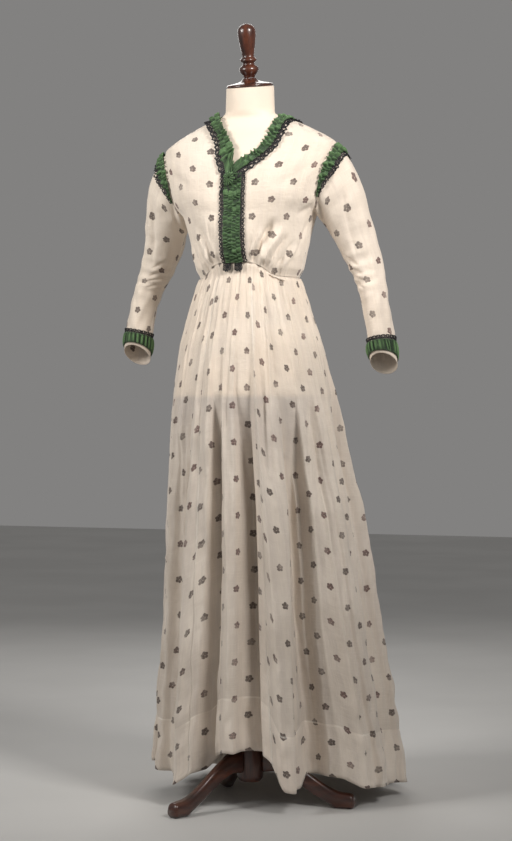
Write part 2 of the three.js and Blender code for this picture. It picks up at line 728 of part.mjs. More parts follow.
/** Line down the front at a distance across from the centre. */
function frontLine(x, top, bottom) {
  const knots = [0, 0.25, 0.5, 0.75, 1].map((share) => {
    const z = lerp(top, bottom, share);
    return [THREE.MathUtils.radToDeg(Math.asin(x / bodiceAt.half(z))), z];
  });
  return pathOn(bodice, knots);
}

const plastronLine = frontLine(PLASTRON.x, PLASTRON.top, PLASTRON.bottom);
for (const [name, side] of [["left", 1], ["right", -1]]) {
  const width = PLASTRON[name];
  add(`plastron_strip_${name}`, ruche(plastronLine, {
    from: 0.5 * side,
    to: width * side,
    waves: 9,
    height: 1.6,
  }), "silk");
  add(`plastron_lace_${name}`, lace(plastronLine, {
    from: (width + 1) * side,
    to: (width + PLASTRON.lace) * side,
    repeats: 9,
  }), "lace");
}

/** Gathered lace tab below the plastron, hanging over the waist seam's front. */
function laceTab(x, width) {
  const waves = 4;
  const [top, fall] = [WAIST_SIDE_Z + WAIST_RISE - 1.5, 20];
  return wall(waves * 2, 2, (i, j) => {
    const z = top - (fall * j) / 2;
    const spread = j === 2 ? 1.15 : 1;
    const place = x + width * spread * (i / (waves * 2) - 0.5);
    const angle = THREE.MathUtils.radToDeg(Math.asin(place / skirtAt.half(z)));
    const swell = GATHER_DEPTH + LACE + (i % 2 ? 1.1 : -0.6) + j * 0.5;
    return { point: skirtEnvelope(angle, z, swell), normal: new THREE.Vector3(0, -1, 0) };
  }, { thickness: LACE });
}

add("lace_tab_right", laceTab(-14, 16), "lace");
add("lace_tab_left", laceTab(10, 15), "lace");

/** Small bow knot of silk over the crossing of the neck ruche. */
function bowKnot() {
  const petals = 5;
  const size = petals * 3;
  const seat = LIE + SILK + 1.6;
  const [centreAngle, centreZ] = [0.5, 1270];
  const normal = normalOf(bodice, centreAngle, centreZ);
  const right = new THREE.Vector3(1, 0, 0);
  const up = right.clone().cross(normal).negate().normalize();
  const centre = bodice(centreAngle, centreZ);
  const layers = [[0, 6], [1.5, 10], [4.5, 9], [6.5, 3]];
  return body(layers.map(([out, radius]) => Array.from({ length: size }, (_, k) => {
    const turn = (2 * Math.PI * k) / size;
    const reach = radius * (1 + 0.16 * Math.cos(petals * turn));
    return centre
      .clone()
      .addScaledVector(normal, seat + out)
      .addScaledVector(right, reach * Math.cos(turn))
      .addScaledVector(up, reach * 1.2 * Math.sin(turn));
  })));
}

add("bow_knot", bowKnot(), "silk");

const ARM_TRIM = { end: 124, ruche: 19, lace: 12, start: 0.02 };
const armholeLine = pathOn(
  sleeve,
  Array.from({ length: 13 }, (_, k) => [lerp(-ARM_TRIM.end, ARM_TRIM.end, k / 12), ARM_TRIM.start]),
);

/** A geometry for the wearer's other side. */
function otherSide(geometry, side) {
  if (side > 0) return geometry;
  const positions = Array.from(geometry.attributes.position.array);
  const flipped = positions.map((value, k) => (k % 3 === 0 ? -value : value));
  return closed(flipped, Array.from(geometry.index.array));
}

for (const [name, side] of [["left", 1], ["right", -1]]) {
  const gathered = ruche(armholeLine, { from: 0.5, to: ARM_TRIM.ruche, waves: 14, height: 3 });
  add(`armhole_ruche_${name}`, otherSide(gathered, side), "silk");
  const edging = lace(armholeLine, {
    from: ARM_TRIM.ruche + 1,
    to: ARM_TRIM.ruche + ARM_TRIM.lace,
    repeats: 15,
  });
  add(`armhole_lace_${name}`, otherSide(edging, side), "lace");
}

// Cuff trimming, by its place along the sleeve: lace above, silk down to the mouth.
const CUFF = { laceTop: 0.917, laceFoot: 0.934, silkTop: 0.937, silkFoot: 0.99, waves: 9 };

for (const [name, side] of [["left", 1], ["right", -1]]) {
  const columns = CUFF.waves * 2;
  const turnOf = (i) => (i * 360) / columns;
  const silk = wall(columns, 3, (i, j) => {
    const puff = j === 1 || j === 2 ? 1 : 0.1;
    const out = LIE - 0.5 + SILK + 1.8 * puff * ((i + (j > 1 ? 1 : 0)) % 2);
    return sleevePlace(side, turnOf(i), lerp(CUFF.silkTop, CUFF.silkFoot, j / 3), out);
  }, { thickness: SILK, around: true });
  add(`cuff_ruche_${name}`, silk, "silk");
  const edging = wall(columns, 1, (i, j) => {
    const scallop = j === 0 ? (i % 2) * 0.008 : 0;
    const along = lerp(CUFF.laceTop, CUFF.laceFoot, j) + scallop;
    return sleevePlace(side, turnOf(i), along, LIE - 0.5 + LACE);
  }, { thickness: LACE, around: true });
  add(`cuff_lace_${name}`, edging, "lace");
}

// Free end of the waist cord at the wearer's left of the front.
const CORD = { radius: 1.6, from: 40, to: 58, sides: 6, steps: 8 };

function waistCord() {
  const rings = Array.from({ length: CORD.steps + 1 }, (_, k) => {
    const share = k / CORD.steps;
    const angle = lerp(CORD.from, CORD.to, share);
    const z = waistZ(angle) - 3 - 5 * share ** 2;
    const out = normalOf(skirtEnvelopeSurface, angle, z);
    const centre = skirtEnvelope(angle, z, GATHER_DEPTH + CORD.radius + 0.1);
    return Array.from({ length: CORD.sides }, (_, m) => {
      const turn = (2 * Math.PI * m) / CORD.sides + share * 3;
      return centre
        .clone()
        .addScaledVector(out, CORD.radius * Math.cos(turn))
        .addScaledVector(new THREE.Vector3(0, 0, 1), CORD.radius * Math.sin(turn));
    });
  });
  return body(rings);
}
const skirtEnvelopeSurface = facing((angle, z) => skirtEnvelope(angle, z, 0), 1);

add("waist_cord", waistCord(), "muslin");

// ---------------------------------------------------------------- the form and its stand

const FORM_COLUMNS = 28;

/** Ring of the form from one row of a table. */
function formRing({ z, half, front, back }, lean = 0) {
  return Array.from({ length: FORM_COLUMNS }, (_, i) => {
    const point = section((i * 360) / FORM_COLUMNS, half, front, back, z);
    point.z += point.y * Math.tan(rad(lean));
    return point;
  });
}

function formTorso() {
  const ease = curve(FORM_EASE, "z", "ease");
  const upper = FORM_UPPER_ROWS.map((z) => Array.from({ length: FORM_COLUMNS }, (_, i) => {
    const angle = (i * 360) / FORM_COLUMNS;
    const normal = normalOf(bodice, angle, z);
    return bodice(angle, z).addScaledVector(normal, -(MUSLIN + ease(z)));
  }));
  const neck = NECK.map((row, k) => formRing(row, (NECK_LEAN * k) / (NECK.length - 1)));
  return body([...FORM.map((row) => formRing(row)), ...upper, ...neck]);
}

add("form_torso", formTorso(), "form");

/** Solid turned about the upright axis from [radius, height] points. */
function turned(profile, sides = 16) {
  const points = profile.map(([radius, height]) => new THREE.Vector2(radius, height));
  return new THREE.LatheGeometry(points, sides).rotateX(Math.PI / 2);
}

const JOIN = 0.3; // space between two turned pieces of the stand
const CAP_HEIGHT = 19;
const CAP_PROFILE = [
  [0, JOIN], [46, JOIN], [48, 3], [46, 6.5],
  [30, 9], [17, 13], [13, CAP_HEIGHT], [0, CAP_HEIGHT],
];
const FINIAL_PROFILE = [
  [0, 0], [11, 0], [12, 5], [18, 11], [20, 17], [18, 22], [12, 27], [12, 31], [16.5, 34], [16.5, 38],
  [12.5, 42], [13.5, 50], [17, 72], [18.5, 92], [17, 100], [10, 107], [0, 109],
];

const neckCap = add("neck_cap", turned(CAP_PROFILE), "wood");
const finial = add("finial", turned(FINIAL_PROFILE), "wood");
for (const [mesh, height] of [[neckCap, 0], [finial, CAP_HEIGHT + JOIN]]) {
  const lean = rad(NECK_LEAN);
  mesh.position.set(0, -height * Math.sin(lean), NECK_TOP_Z + height * Math.cos(lean));
  mesh.rotation.x = lean;
}

const HUB = { radius: 27, bottom: 46, top: 165 };
const POLE_RADIUS = 12;

add("stand_hub", turned([
  [0, HUB.bottom], [20, HUB.bottom], [25, 52], [HUB.radius, 60], [HUB.radius, 118], [23, 127],
  [16, 134], [15, 148], [20, 156], [20, HUB.top], [0, HUB.top],
]), "wood");
add("stand_pole", turned([
  [0, HUB.top + JOIN], [POLE_RADIUS, HUB.top + JOIN],
  [POLE_RADIUS, TORSO_BOTTOM_Z - JOIN], [0, TORSO_BOTTOM_Z - JOIN],
]), "wood");

// Sections of a leg outward from the hub: underside, top and half width.
const LEG = [
  { reach: HUB.radius + JOIN, bottom: 66, top: 112, half: 9 },
  { reach: 50, bottom: 68, top: 112, half: 10 },
  { reach: 80, bottom: 58, top: 98, half: 10 },
  { reach: 110, bottom: 41, top: 78, half: 10 },
  { reach: 140, bottom: 22, top: 57, half: 10 },
  { reach: 165, bottom: 9, top: 42, half: 11 },
  { reach: LEG_REACH - 15, bottom: 0, top: 34, half: 13 },
  { reach: LEG_REACH + 14, bottom: 0, top: 29, half: 14 },
  { reach: LEG_REACH + 19, bottom: 4, top: 20, half: 11 },
];

/** Section of a leg: flat underneath, rounded on top. */
function legSection({ reach, bottom, top, half }) {
  const tall = top - bottom;
  const outline = [[-1, 0], [1, 0], [1, 0.6], [0.75, 0.88], [0.3, 1], [-0.3, 1], [-0.75, 0.88], [-1, 0.6]];
  return outline.map(([across, up]) => new THREE.Vector3(half * across, -reach, bottom + tall * up));
}

for (const [name, angle] of Object.entries(LEG_ANGLES)) {
  const leg = add(`stand_leg_${name}`, body(LEG.map(legSection)), "wood");
  leg.rotation.z = rad(angle);
}

// The part stands on its feet, with its origin under the middle of its box.
dress.updateMatrixWorld(true);
const box = new THREE.Box3().setFromObject(dress);
dress.position.set(-(box.min.x + box.max.x) / 2, -(box.min.y + box.max.y) / 2, -box.min.z);

export default dress;
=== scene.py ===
"""A printed muslin day dress with silk and lace trimming, worn by a dress form on its stand.

Shapes are worked out in millimetres about the stand's pole, and placed in the shared frame in metres.
The dress faces -Y and the wearer's left is +X. Angles round the body start at the front.
"""
import logging
import math
from collections.abc import Callable, Iterable, Sequence
from dataclasses import dataclass, field, replace
from enum import Enum

import bmesh
import bpy
import numpy as np
from mathutils import Matrix, Vector


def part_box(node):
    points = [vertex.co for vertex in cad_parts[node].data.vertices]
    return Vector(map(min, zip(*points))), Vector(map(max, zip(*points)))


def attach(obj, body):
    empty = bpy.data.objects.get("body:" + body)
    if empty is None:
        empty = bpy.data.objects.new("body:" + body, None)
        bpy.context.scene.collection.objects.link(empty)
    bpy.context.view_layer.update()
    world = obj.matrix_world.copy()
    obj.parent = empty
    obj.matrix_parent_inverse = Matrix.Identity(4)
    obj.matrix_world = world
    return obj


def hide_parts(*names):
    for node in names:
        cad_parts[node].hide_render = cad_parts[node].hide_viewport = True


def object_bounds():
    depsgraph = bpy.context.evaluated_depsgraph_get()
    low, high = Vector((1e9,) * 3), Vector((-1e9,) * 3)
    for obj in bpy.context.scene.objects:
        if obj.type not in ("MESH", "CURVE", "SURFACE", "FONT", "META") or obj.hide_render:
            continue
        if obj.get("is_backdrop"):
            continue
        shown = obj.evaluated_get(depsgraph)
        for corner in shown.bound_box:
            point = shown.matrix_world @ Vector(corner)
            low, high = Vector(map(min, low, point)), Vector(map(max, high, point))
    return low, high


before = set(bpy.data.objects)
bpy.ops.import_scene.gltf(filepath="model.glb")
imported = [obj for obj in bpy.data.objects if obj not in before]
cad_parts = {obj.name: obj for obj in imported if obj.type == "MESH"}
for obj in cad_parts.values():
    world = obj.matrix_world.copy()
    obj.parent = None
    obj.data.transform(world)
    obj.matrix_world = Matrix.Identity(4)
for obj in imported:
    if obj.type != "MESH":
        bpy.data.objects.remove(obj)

LOG = logging.getLogger("day_dress")
Array = np.ndarray
Colour = tuple[float, float, float, float]
Material = bpy.types.Material
Socket = bpy.types.NodeSocket
Creases = tuple[tuple[float, ...], ...]
AlongLine = Callable[[Array], Array]
Lay = Callable[[Array, Array], "Laid"]
MM = 0.001


class Slot(Enum):
    """Material slots of the part."""

    MUSLIN = "muslin"
    SILK = "green_silk"
    LACE = "black_lace"
    FORM = "form_cover"
    WOOD = "dark_wood"


WALL = {Slot.MUSLIN: 0.9, Slot.SILK: 0.8, Slot.LACE: 0.6}  # thickness of each cloth


class Side(Enum):
    """Side of the wearer, with the sign of its X."""

    LEFT = 1
    RIGHT = -1

    @property
    def word(self) -> str:
        """Name of the side in the pieces' names."""
        return self.name.lower()

    @property
    def mirror(self) -> Array:
        """Factors that bring a point of the left side to this one."""
        return np.array([self.value, 1, 1])


# --- curves and tables


class Curve:
    """Smooth curve through knots, without overshoot between them."""

    def __init__(self, knots: Iterable[tuple[float, float]], period: float = 0.0) -> None:
        """Keep the knots in order.

        Args:
            knots: Pairs of place and value.
            period: Length after which the curve repeats, or 0.
        """
        ordered = sorted(knots)
        if period:
            ordered = (
                [(at - period, value) for at, value in ordered[-2:]]
                + ordered
                + [(at + period, value) for at, value in ordered[:2]]
            )
        self.at = np.array([at for at, _ in ordered], float)
        self.value = np.array([value for _, value in ordered], float)
        self.period = period
        self.start = self.at[2] if period else self.at[0]
        rise = np.diff(self.value) / np.diff(self.at)
        before = np.concatenate([rise[:1], rise])
        after = np.concatenate([rise, rise[-1:]])
        total = before + after
        safe = np.where(total == 0, 1, total)
        self.slope = np.where(before * after > 0, 2 * before * after / safe, 0)

    def __call__(self, place: Array | float) -> Array:
        """Value of the curve at a place.

        Args:
            place: Where to read it.

        Returns:
            Its value there.
        """
        place = np.asarray(place, float)
        if self.period:
            place = self.start + np.mod(place - self.start, self.period)
        place = np.clip(place, self.at[0], self.at[-1])
        k = np.clip(np.searchsorted(self.at, place, side="right") - 1, 0, len(self.at) - 2)
        span = self.at[k + 1] - self.at[k]
        t = (place - self.at[k]) / span
        rest = 1 - t
        ends = self.value[k] * (1 + 2 * t) * rest**2 + self.value[k + 1] * t**2 * (3 - 2 * t)
        return ends + span * t * rest * (self.slope[k] * rest - self.slope[k + 1] * t)


class Table:
    """Measurements in named columns, each read as a curve along the first."""

    def __init__(self, columns: str, rows: Sequence[Sequence[float]]) -> None:
        """Make one curve a column.

        Args:
            columns: Names of the columns, the first being the one that is looked up.
            rows: One row of numbers a line of the table.
        """
        self.curves = {
            name: Curve([(row[0], row[k]) for row in rows])
            for k, name in enumerate(columns.split())
            if k
        }

    def __getitem__(self, column: str) -> Curve:
        """The curve of one column."""
        return self.curves[column]


def smooth(value: Array | float, low: float, high: float) -> Array:
    """Ease from 0 at low to 1 at high."""
    t = np.clip((np.asarray(value, float) - low) / (high - low), 0, 1)
    return t * t * (3 - 2 * t)


def mix(first: Array | float, second: Array | float, share: Array | float) -> Array:
    """Straight mix of two values."""
    return first + (second - first) * share


def turn_of(angle: Array | float) -> Array:
    """An angle brought between -180 and 180 degrees."""
    return np.mod(np.asarray(angle, float) + 180, 360) - 180


def unit(vectors: Array) -> Array:
    """Vectors brought to length 1."""
    return vectors / np.maximum(np.linalg.norm(vectors, axis=-1, keepdims=True), 1e-9)


def gathers(place: Array, seed: int, uneven: float = 0.35) -> Array:
    """Rounded ridges with narrow valleys, one a unit of place, from -1 to 1.

    Args:
        place: Place along the gathered edge, counted in gathers.
        seed: Choice of the unevenness.
        uneven: How far the gathers drift from even spacing.

    Returns:
        The relief.
    """
    rng = np.random.default_rng(seed)
    drift = sum(
        np.sin(place * rate + rng.uniform(0, math.tau)) for rate in (0.73, 1.61, 2.9)
    )
    high = 0.8 + 0.2 * np.sin(place * 1.37 + rng.uniform(0, math.tau))
    return (1 - 2 * np.abs(np.cos(np.pi * (place + uneven * 0.4 * drift))) ** 0.9) * high


def crumple(u: Array, v: Array, seed: int, waves: int = 7) -> Array:
    """Low uneven relief from crossing waves, about -1 to 1.

    Args:
        u: Place one way, in the length of the main wave.
        v: Place the other way, in the same.
        seed: Choice of the waves.
        waves: How many waves cross.

    Returns:
        The relief.
    """
    rng = np.random.default_rng(seed)
    total = np.zeros(np.broadcast(u, v).shape)
    for _ in range(waves):
        heading = rng.uniform(0, math.pi)
        rate = math.tau * rng.uniform(0.5, 1.8)
        phase = rng.uniform(0, math.tau)
        total += np.sin(rate * (u * math.cos(heading) + v * math.sin(heading)) + phase)
    return total / math.sqrt(waves) / 1.4


def creased(u: Array, v: Array, creases: Creases, scale: tuple[float, float]) -> Array:
    """Relief of soft folds listed one by one.

    Args:
        u: First coordinate of the surface.
        v: Second coordinate of the surface.
        creases: Rows of both coordinates of the start, both of the end, the depth and the width.
        scale: Millimetres a unit of each coordinate.

    Returns:
        Millimetres outward, raised where a depth is positive.
    """
    relief = np.zeros(np.broadcast(u, v).shape)
    for start_u, start_v, end_u, end_v, depth, width in creases:
        first = np.array((start_u, start_v)) * scale
        way = np.array((end_u, end_v)) * scale - first
        length = float(np.hypot(*way))
        across_u = u * scale[0] - first[0]
        across_v = v * scale[1] - first[1]
        along = (across_u * way[0] + across_v * way[1]) / length**2
        held = np.clip(along, 0, 1)
        away = np.hypot(across_u - held * way[0], across_v - held * way[1])
        ends = smooth(along, -0.05, 0.3) * (1 - smooth(along, 0.7, 1.05))
        relief += depth * np.exp(-((away / width) ** 2)) * ends
    return relief


# --- surfaces and sheets


@dataclass(frozen=True)
class Surface:
    """A worn surface with two coordinates, and the small step in each."""

    place: Callable[[Array, Array], Array]
    step_u: float = 0.4
    step_v: float = 0.5

    def slopes(self, u: Array, v: Array) -> tuple[Array, Array]:
        """How the point moves with each coordinate.

        Args:
            u: First coordinate.
            v: Second coordinate.

        Returns:
            Movement with the first and with the second.
        """
        du = self.place(u + self.step_u, v) - self.place(u - self.step_u, v)
        dv = self.place(u, v + self.step_v) - self.place(u, v - self.step_v)
        return du / (2 * self.step_u), dv / (2 * self.step_v)

    def normal(self, u: Array, v: Array) -> Array:
        """Outward unit normal."""
        du, dv = self.slopes(u, v)
        return unit(np.cross(du, dv))

    def nearest(self, u: Array, v: Array, target: Array) -> tuple[Array, Array]:
        """Coordinates of the surface nearest to the targets, from starting coordinates.

        Args:
            u: First starting coordinate.
            v: Second starting coordinate.
            target: Points in space.

        Returns:
            Both coordinates.
        """
        for _ in range(5):
            miss = target - self.place(u, v)
            du, dv = self.slopes(u, v)
            uu, uv, vv = ((a * b).sum(-1) for a, b in ((du, du), (du, dv), (dv, dv)))
            mu, mv = (miss * du).sum(-1), (miss * dv).sum(-1)
            scale = uu * vv - uv**2
            u = u + (mu * vv - mv * uv) / scale
            v = v + (mv * uu - mu * uv) / scale
        return u, v


class Path:
    """Line over a surface, walked by the length travelled."""

    def __init__(self, surface: Surface, knots: Sequence[tuple[float, float]]) -> None:
        """Measure the line.

        Args:
            surface: What the line lies on.
            knots: Coordinates that it passes through.
        """
        self.surface = surface
        steps = np.linspace(0, len(knots) - 1, 600)
        self.u = Curve(enumerate(knot[0] for knot in knots))(steps)
        self.v = Curve(enumerate(knot[1] for knot in knots))(steps)
        points = surface.place(self.u, self.v)
        lengths = np.linalg.norm(np.diff(points, axis=0), axis=1)
        self.lengths = np.concatenate([[0], np.cumsum(lengths)])
        self.total = float(self.lengths[-1])

    def at(self, along: Array) -> tuple[Array, Array]:
        """Coordinates at a length along the line."""
        return np.interp(along, self.lengths, self.u), np.interp(along, self.lengths, self.v)

    def beside(self, along: Array, across: Array, lift: Array, lean: Array) -> tuple[Array, Array]:
        """Points beside the line, and the way out of the surface there.

        Args:
            along: Length along the line.
            across: Distance across from it.
            lift: Height above the surface.
            lean: How much the way across slants along the line.

        Returns:
            The points and the outward normals.
        """
        u, v = self.at(along)
        ahead = self.surface.place(*self.at(along + 1.5))
        behind = self.surface.place(*self.at(along - 1.5))
        tangent = unit(ahead - behind)
        square = unit(np.cross(self.surface.normal(u, v), tangent))
        way = square + tangent * lean[..., None]
        target = self.surface.place(u, v) + way * across[..., None]
        u, v = self.surface.nearest(u, v, target)
        out = self.surface.normal(u, v)
        return self.surface.place(u, v) + out * lift[..., None], out


@dataclass(frozen=True)
class Laid:
    """How a sheet lies: points, its place on the flat cloth and its edge distances (for the silk, its
    painted pleat shade instead), and outward.
    """

    points: Array
    flat: Array
    edge: Array
    outward: Array


def flat_cloth(
    points: Array, crowding: float = 0.0, folded: Array | None = None
) -> tuple[Array, Array]:
    """Places on the flat cloth and distances to its edges, in metres, from a grid of points.

    Args:
        points: Grid of points, columns first, its last row at the lower edge.
        crowding: How much of the narrowing towards the top is gathered cloth.
        folded: The same grid with its folds, where they take up cloth unevenly.

    Returns:
        Both grids.
    """
    wide = np.linalg.norm(np.diff(points, axis=0), axis=2)
    tall = np.linalg.norm(np.diff(points, axis=1), axis=2).mean(axis=0)
    u = np.concatenate([np.zeros((1, wide.shape[1])), np.cumsum(wide, axis=0)])
    if folded is not None:
        steps = np.linalg.norm(np.diff(folded, axis=0), axis=2)
        true = np.concatenate([np.zeros((1, steps.shape[1])), np.cumsum(steps, axis=0)])
        u = true * (u[-1] / true[-1])
    width = u[-1]
    u = (u - width / 2) * (width[-1] / np.maximum(width, 1)) ** crowding
    down = np.concatenate([[0], np.cumsum(tall)])
    v = np.broadcast_to(down[-1] - down, u.shape)
    to_side = np.abs(u[-1]) - np.abs(u)
    flat = np.stack([u, v], axis=-1) * MM
    return flat, np.stack([to_side, v], axis=-1) * MM


@dataclass(frozen=True)
class Cut:
    """Flat cut of a sheet in metres, the piece that it rests on, and how it is held there."""

    flat: tuple[float, float]
    rests_on: str
    held: str = "gathered"
    area: float | None = None


class Workroom:
    """Makes the pieces' meshes and hands the finished ones to the frame."""

    def __init__(self) -> None:
        """Find the pole that every shape is placed about."""
        low, high = (Vector(corner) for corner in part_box("stand_pole"))
        middle = (low + high) / 2
        self.pole = np.array([middle.x, middle.y, 0.0])

    @staticmethod
    def place(name: str, shape: bmesh.types.BMesh, smooth_faces: bool = True) -> bpy.types.Object:
        """Turn a shape into an object in the scene.

        Args:
            name: Name of the object.
            shape: The finished shape, which is freed.
            smooth_faces: Whether the faces are shaded as one round.

        Returns:
            The new object.
        """
        for face in shape.faces:
            face.smooth = smooth_faces
        mesh = bpy.data.meshes.new(name)
        shape.to_mesh(mesh)
        shape.free()
        piece = bpy.data.objects.new(name, mesh)
        bpy.context.scene.collection.objects.link(piece)
        return piece

    def sheet(
        self,
        name: str,
        columns: int,
        rows: int,
        lay: Lay,
        around: bool = False,
        capped: bool = False,
    ) -> bpy.types.Object:
        """Lay a grid of cloth over a surface.

        Args:
            name: Name of the piece.
            columns: Cells across the cloth.
            rows: Cells down it.
            lay: Gives the lie of the cloth from shares across and down it.
            around: Whether the first and last columns are one seam.
            capped: Whether the open ends are filled.

        Returns:
            The new object, one layer thick.
        """
        shape = bmesh.new()
        bmesh.ops.create_grid(shape, x_segments=columns, y_segments=rows, size=0.5)
        shape.verts.ensure_lookup_table()
        corners = np.array([vert.co[:2] for vert in shape.verts]) + 0.5
        i = np.rint(corners[:, 0] * columns).astype(int)
        j = np.rint(corners[:, 1] * rows).astype(int)
        u, v = np.meshgrid(np.linspace(0, 1, columns + 1), np.linspace(0, 1, rows + 1), indexing="ij")
        laid = lay(u, v)
        for vert, point in zip(shape.verts, laid.points[i, j] * MM + self.pole):
            vert.co = point
        flat_layer = shape.loops.layers.uv.new("flat")
        # the second map: distances to the cloth's edges, or for the silk the painted shade of its
        # pleats
        edge_layer = shape.loops.layers.uv.new("edge")
        flat = laid.flat[i, j].tolist()
        edge = laid.edge[i, j].tolist()
        for face in shape.faces:
            for loop in face.loops:
                loop[flat_layer].uv = flat[loop.vert.index]
                loop[edge_layer].uv = edge[loop.vert.index]
        way = np.cross(
            np.diff(laid.points, axis=0)[:, :-1], np.diff(laid.points, axis=1)[:-1]
        )
        if float((way * laid.outward[:-1, :-1]).sum()) < 0:
            bmesh.ops.reverse_faces(shape, faces=shape.faces)
        if around:
            bmesh.ops.remove_doubles(shape, verts=shape.verts, dist=1e-6)
        if capped:
            rims = [rim for rim in shape.edges if rim.is_boundary]
            bmesh.ops.holes_fill(shape, edges=rims, sides=0)
        return self.place(name, shape)

    def turned(
        self, name: str, profile: Sequence[tuple[float, float]], place: Matrix, steps: int = 64
    ) -> bpy.types.Object:
        """Spin a profile about the upright axis.

        Args:
            name: Name of the piece.
            profile: Radius and height of each point, from the bottom up, both ends on the axis.
            place: Where the turned piece stands, in millimetres about the pole.
            steps: Cells round it.

        Returns:
            The new object.
        """
        shape = bmesh.new()
        points = [shape.verts.new((radius, 0, height)) for radius, height in profile]
        edges = [shape.edges.new(pair) for pair in zip(points, points[1:])]
        bmesh.ops.spin(
            shape,
            geom=points + edges,
            cent=(0, 0, 0),
            axis=(0, 0, 1),
            angle=math.tau,
            steps=steps,
            use_merge=True,
        )
        bmesh.ops.remove_doubles(shape, verts=shape.verts, dist=1e-4)
        bmesh.ops.recalc_face_normals(shape, faces=shape.faces)
        layer = shape.loops.layers.uv.new("flat")
        for face in shape.faces:
            for loop in face.loops:
                x, y, z = loop.vert.co
                loop[layer].uv = (math.atan2(y, x) / math.tau, z * MM)
        scale = Matrix.Diagonal((MM, MM, MM, 1))
        bmesh.ops.transform(
            shape, matrix=Matrix.Translation(Vector(self.pole)) @ scale @ place, verts=shape.verts
        )
        return self.place(name, shape)

    def finish(self, piece: bpy.types.Object, material: Material, slot: Slot, node: str) -> None:
        """Dress a piece and hand it to the frame.

        Args:
            piece: The modelled object.
            material: Its finish.
            slot: Its material slot; not used.
            node: Solid whose place it takes.
        """
        piece.data.materials.append(material)
        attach(piece, "root")
        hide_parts(node)
        LOG.info("%s: %d faces", piece.name, len(piece.data.polygons))

    def cloth(
        self, piece: bpy.types.Object, material: Material, slot: Slot, node: str, cut: Cut
    ) -> None:
        """Give a sheet its wall inward and finish it.

        Args:
            piece: The laid sheet.
            material: Its finish.
            slot: Its material slot.
            node: Solid whose place it takes.
            cut: Its flat cut; not used.
        """
        wall = piece.modifiers.new("thickness", "SOLIDIFY")
        wall.thickness = WALL[slot] * MM
        wall.offset = -1.0
        wall.use_even_offset = False
        self.finish(piece, material, slot, node)


# --- shader maths


class Amount:
    """A number that varies over a surface, with the usual operators."""

    def __init__(self, recipe: "Recipe", socket: Socket) -> None:
        """Wrap a socket of a recipe."""
        self.recipe = recipe
        self.socket = socket

    def __add__(self, other: "Amount | float") -> "Amount":
        """Sum."""
        return self.recipe.maths("ADD", self, other)

    __radd__ = __add__

    def __sub__(self, other: "Amount | float") -> "Amount":
        """Difference."""
        return self.recipe.maths("SUBTRACT", self, other)

    def __rsub__(self, other: "Amount | float") -> "Amount":
        """Difference from a number."""
        return self.recipe.maths("SUBTRACT", other, self)

    def __mul__(self, other: "Amount | float") -> "Amount":
        """Product."""
        return self.recipe.maths("MULTIPLY", self, other)

    __rmul__ = __mul__

    def __truediv__(self, other: "Amount | float") -> "Amount":
        """Quotient."""
        return self.recipe.maths("DIVIDE", self, other)

    def __pow__(self, other: float) -> "Amount":
        """Power."""
        return self.recipe.maths("POWER", self, other)


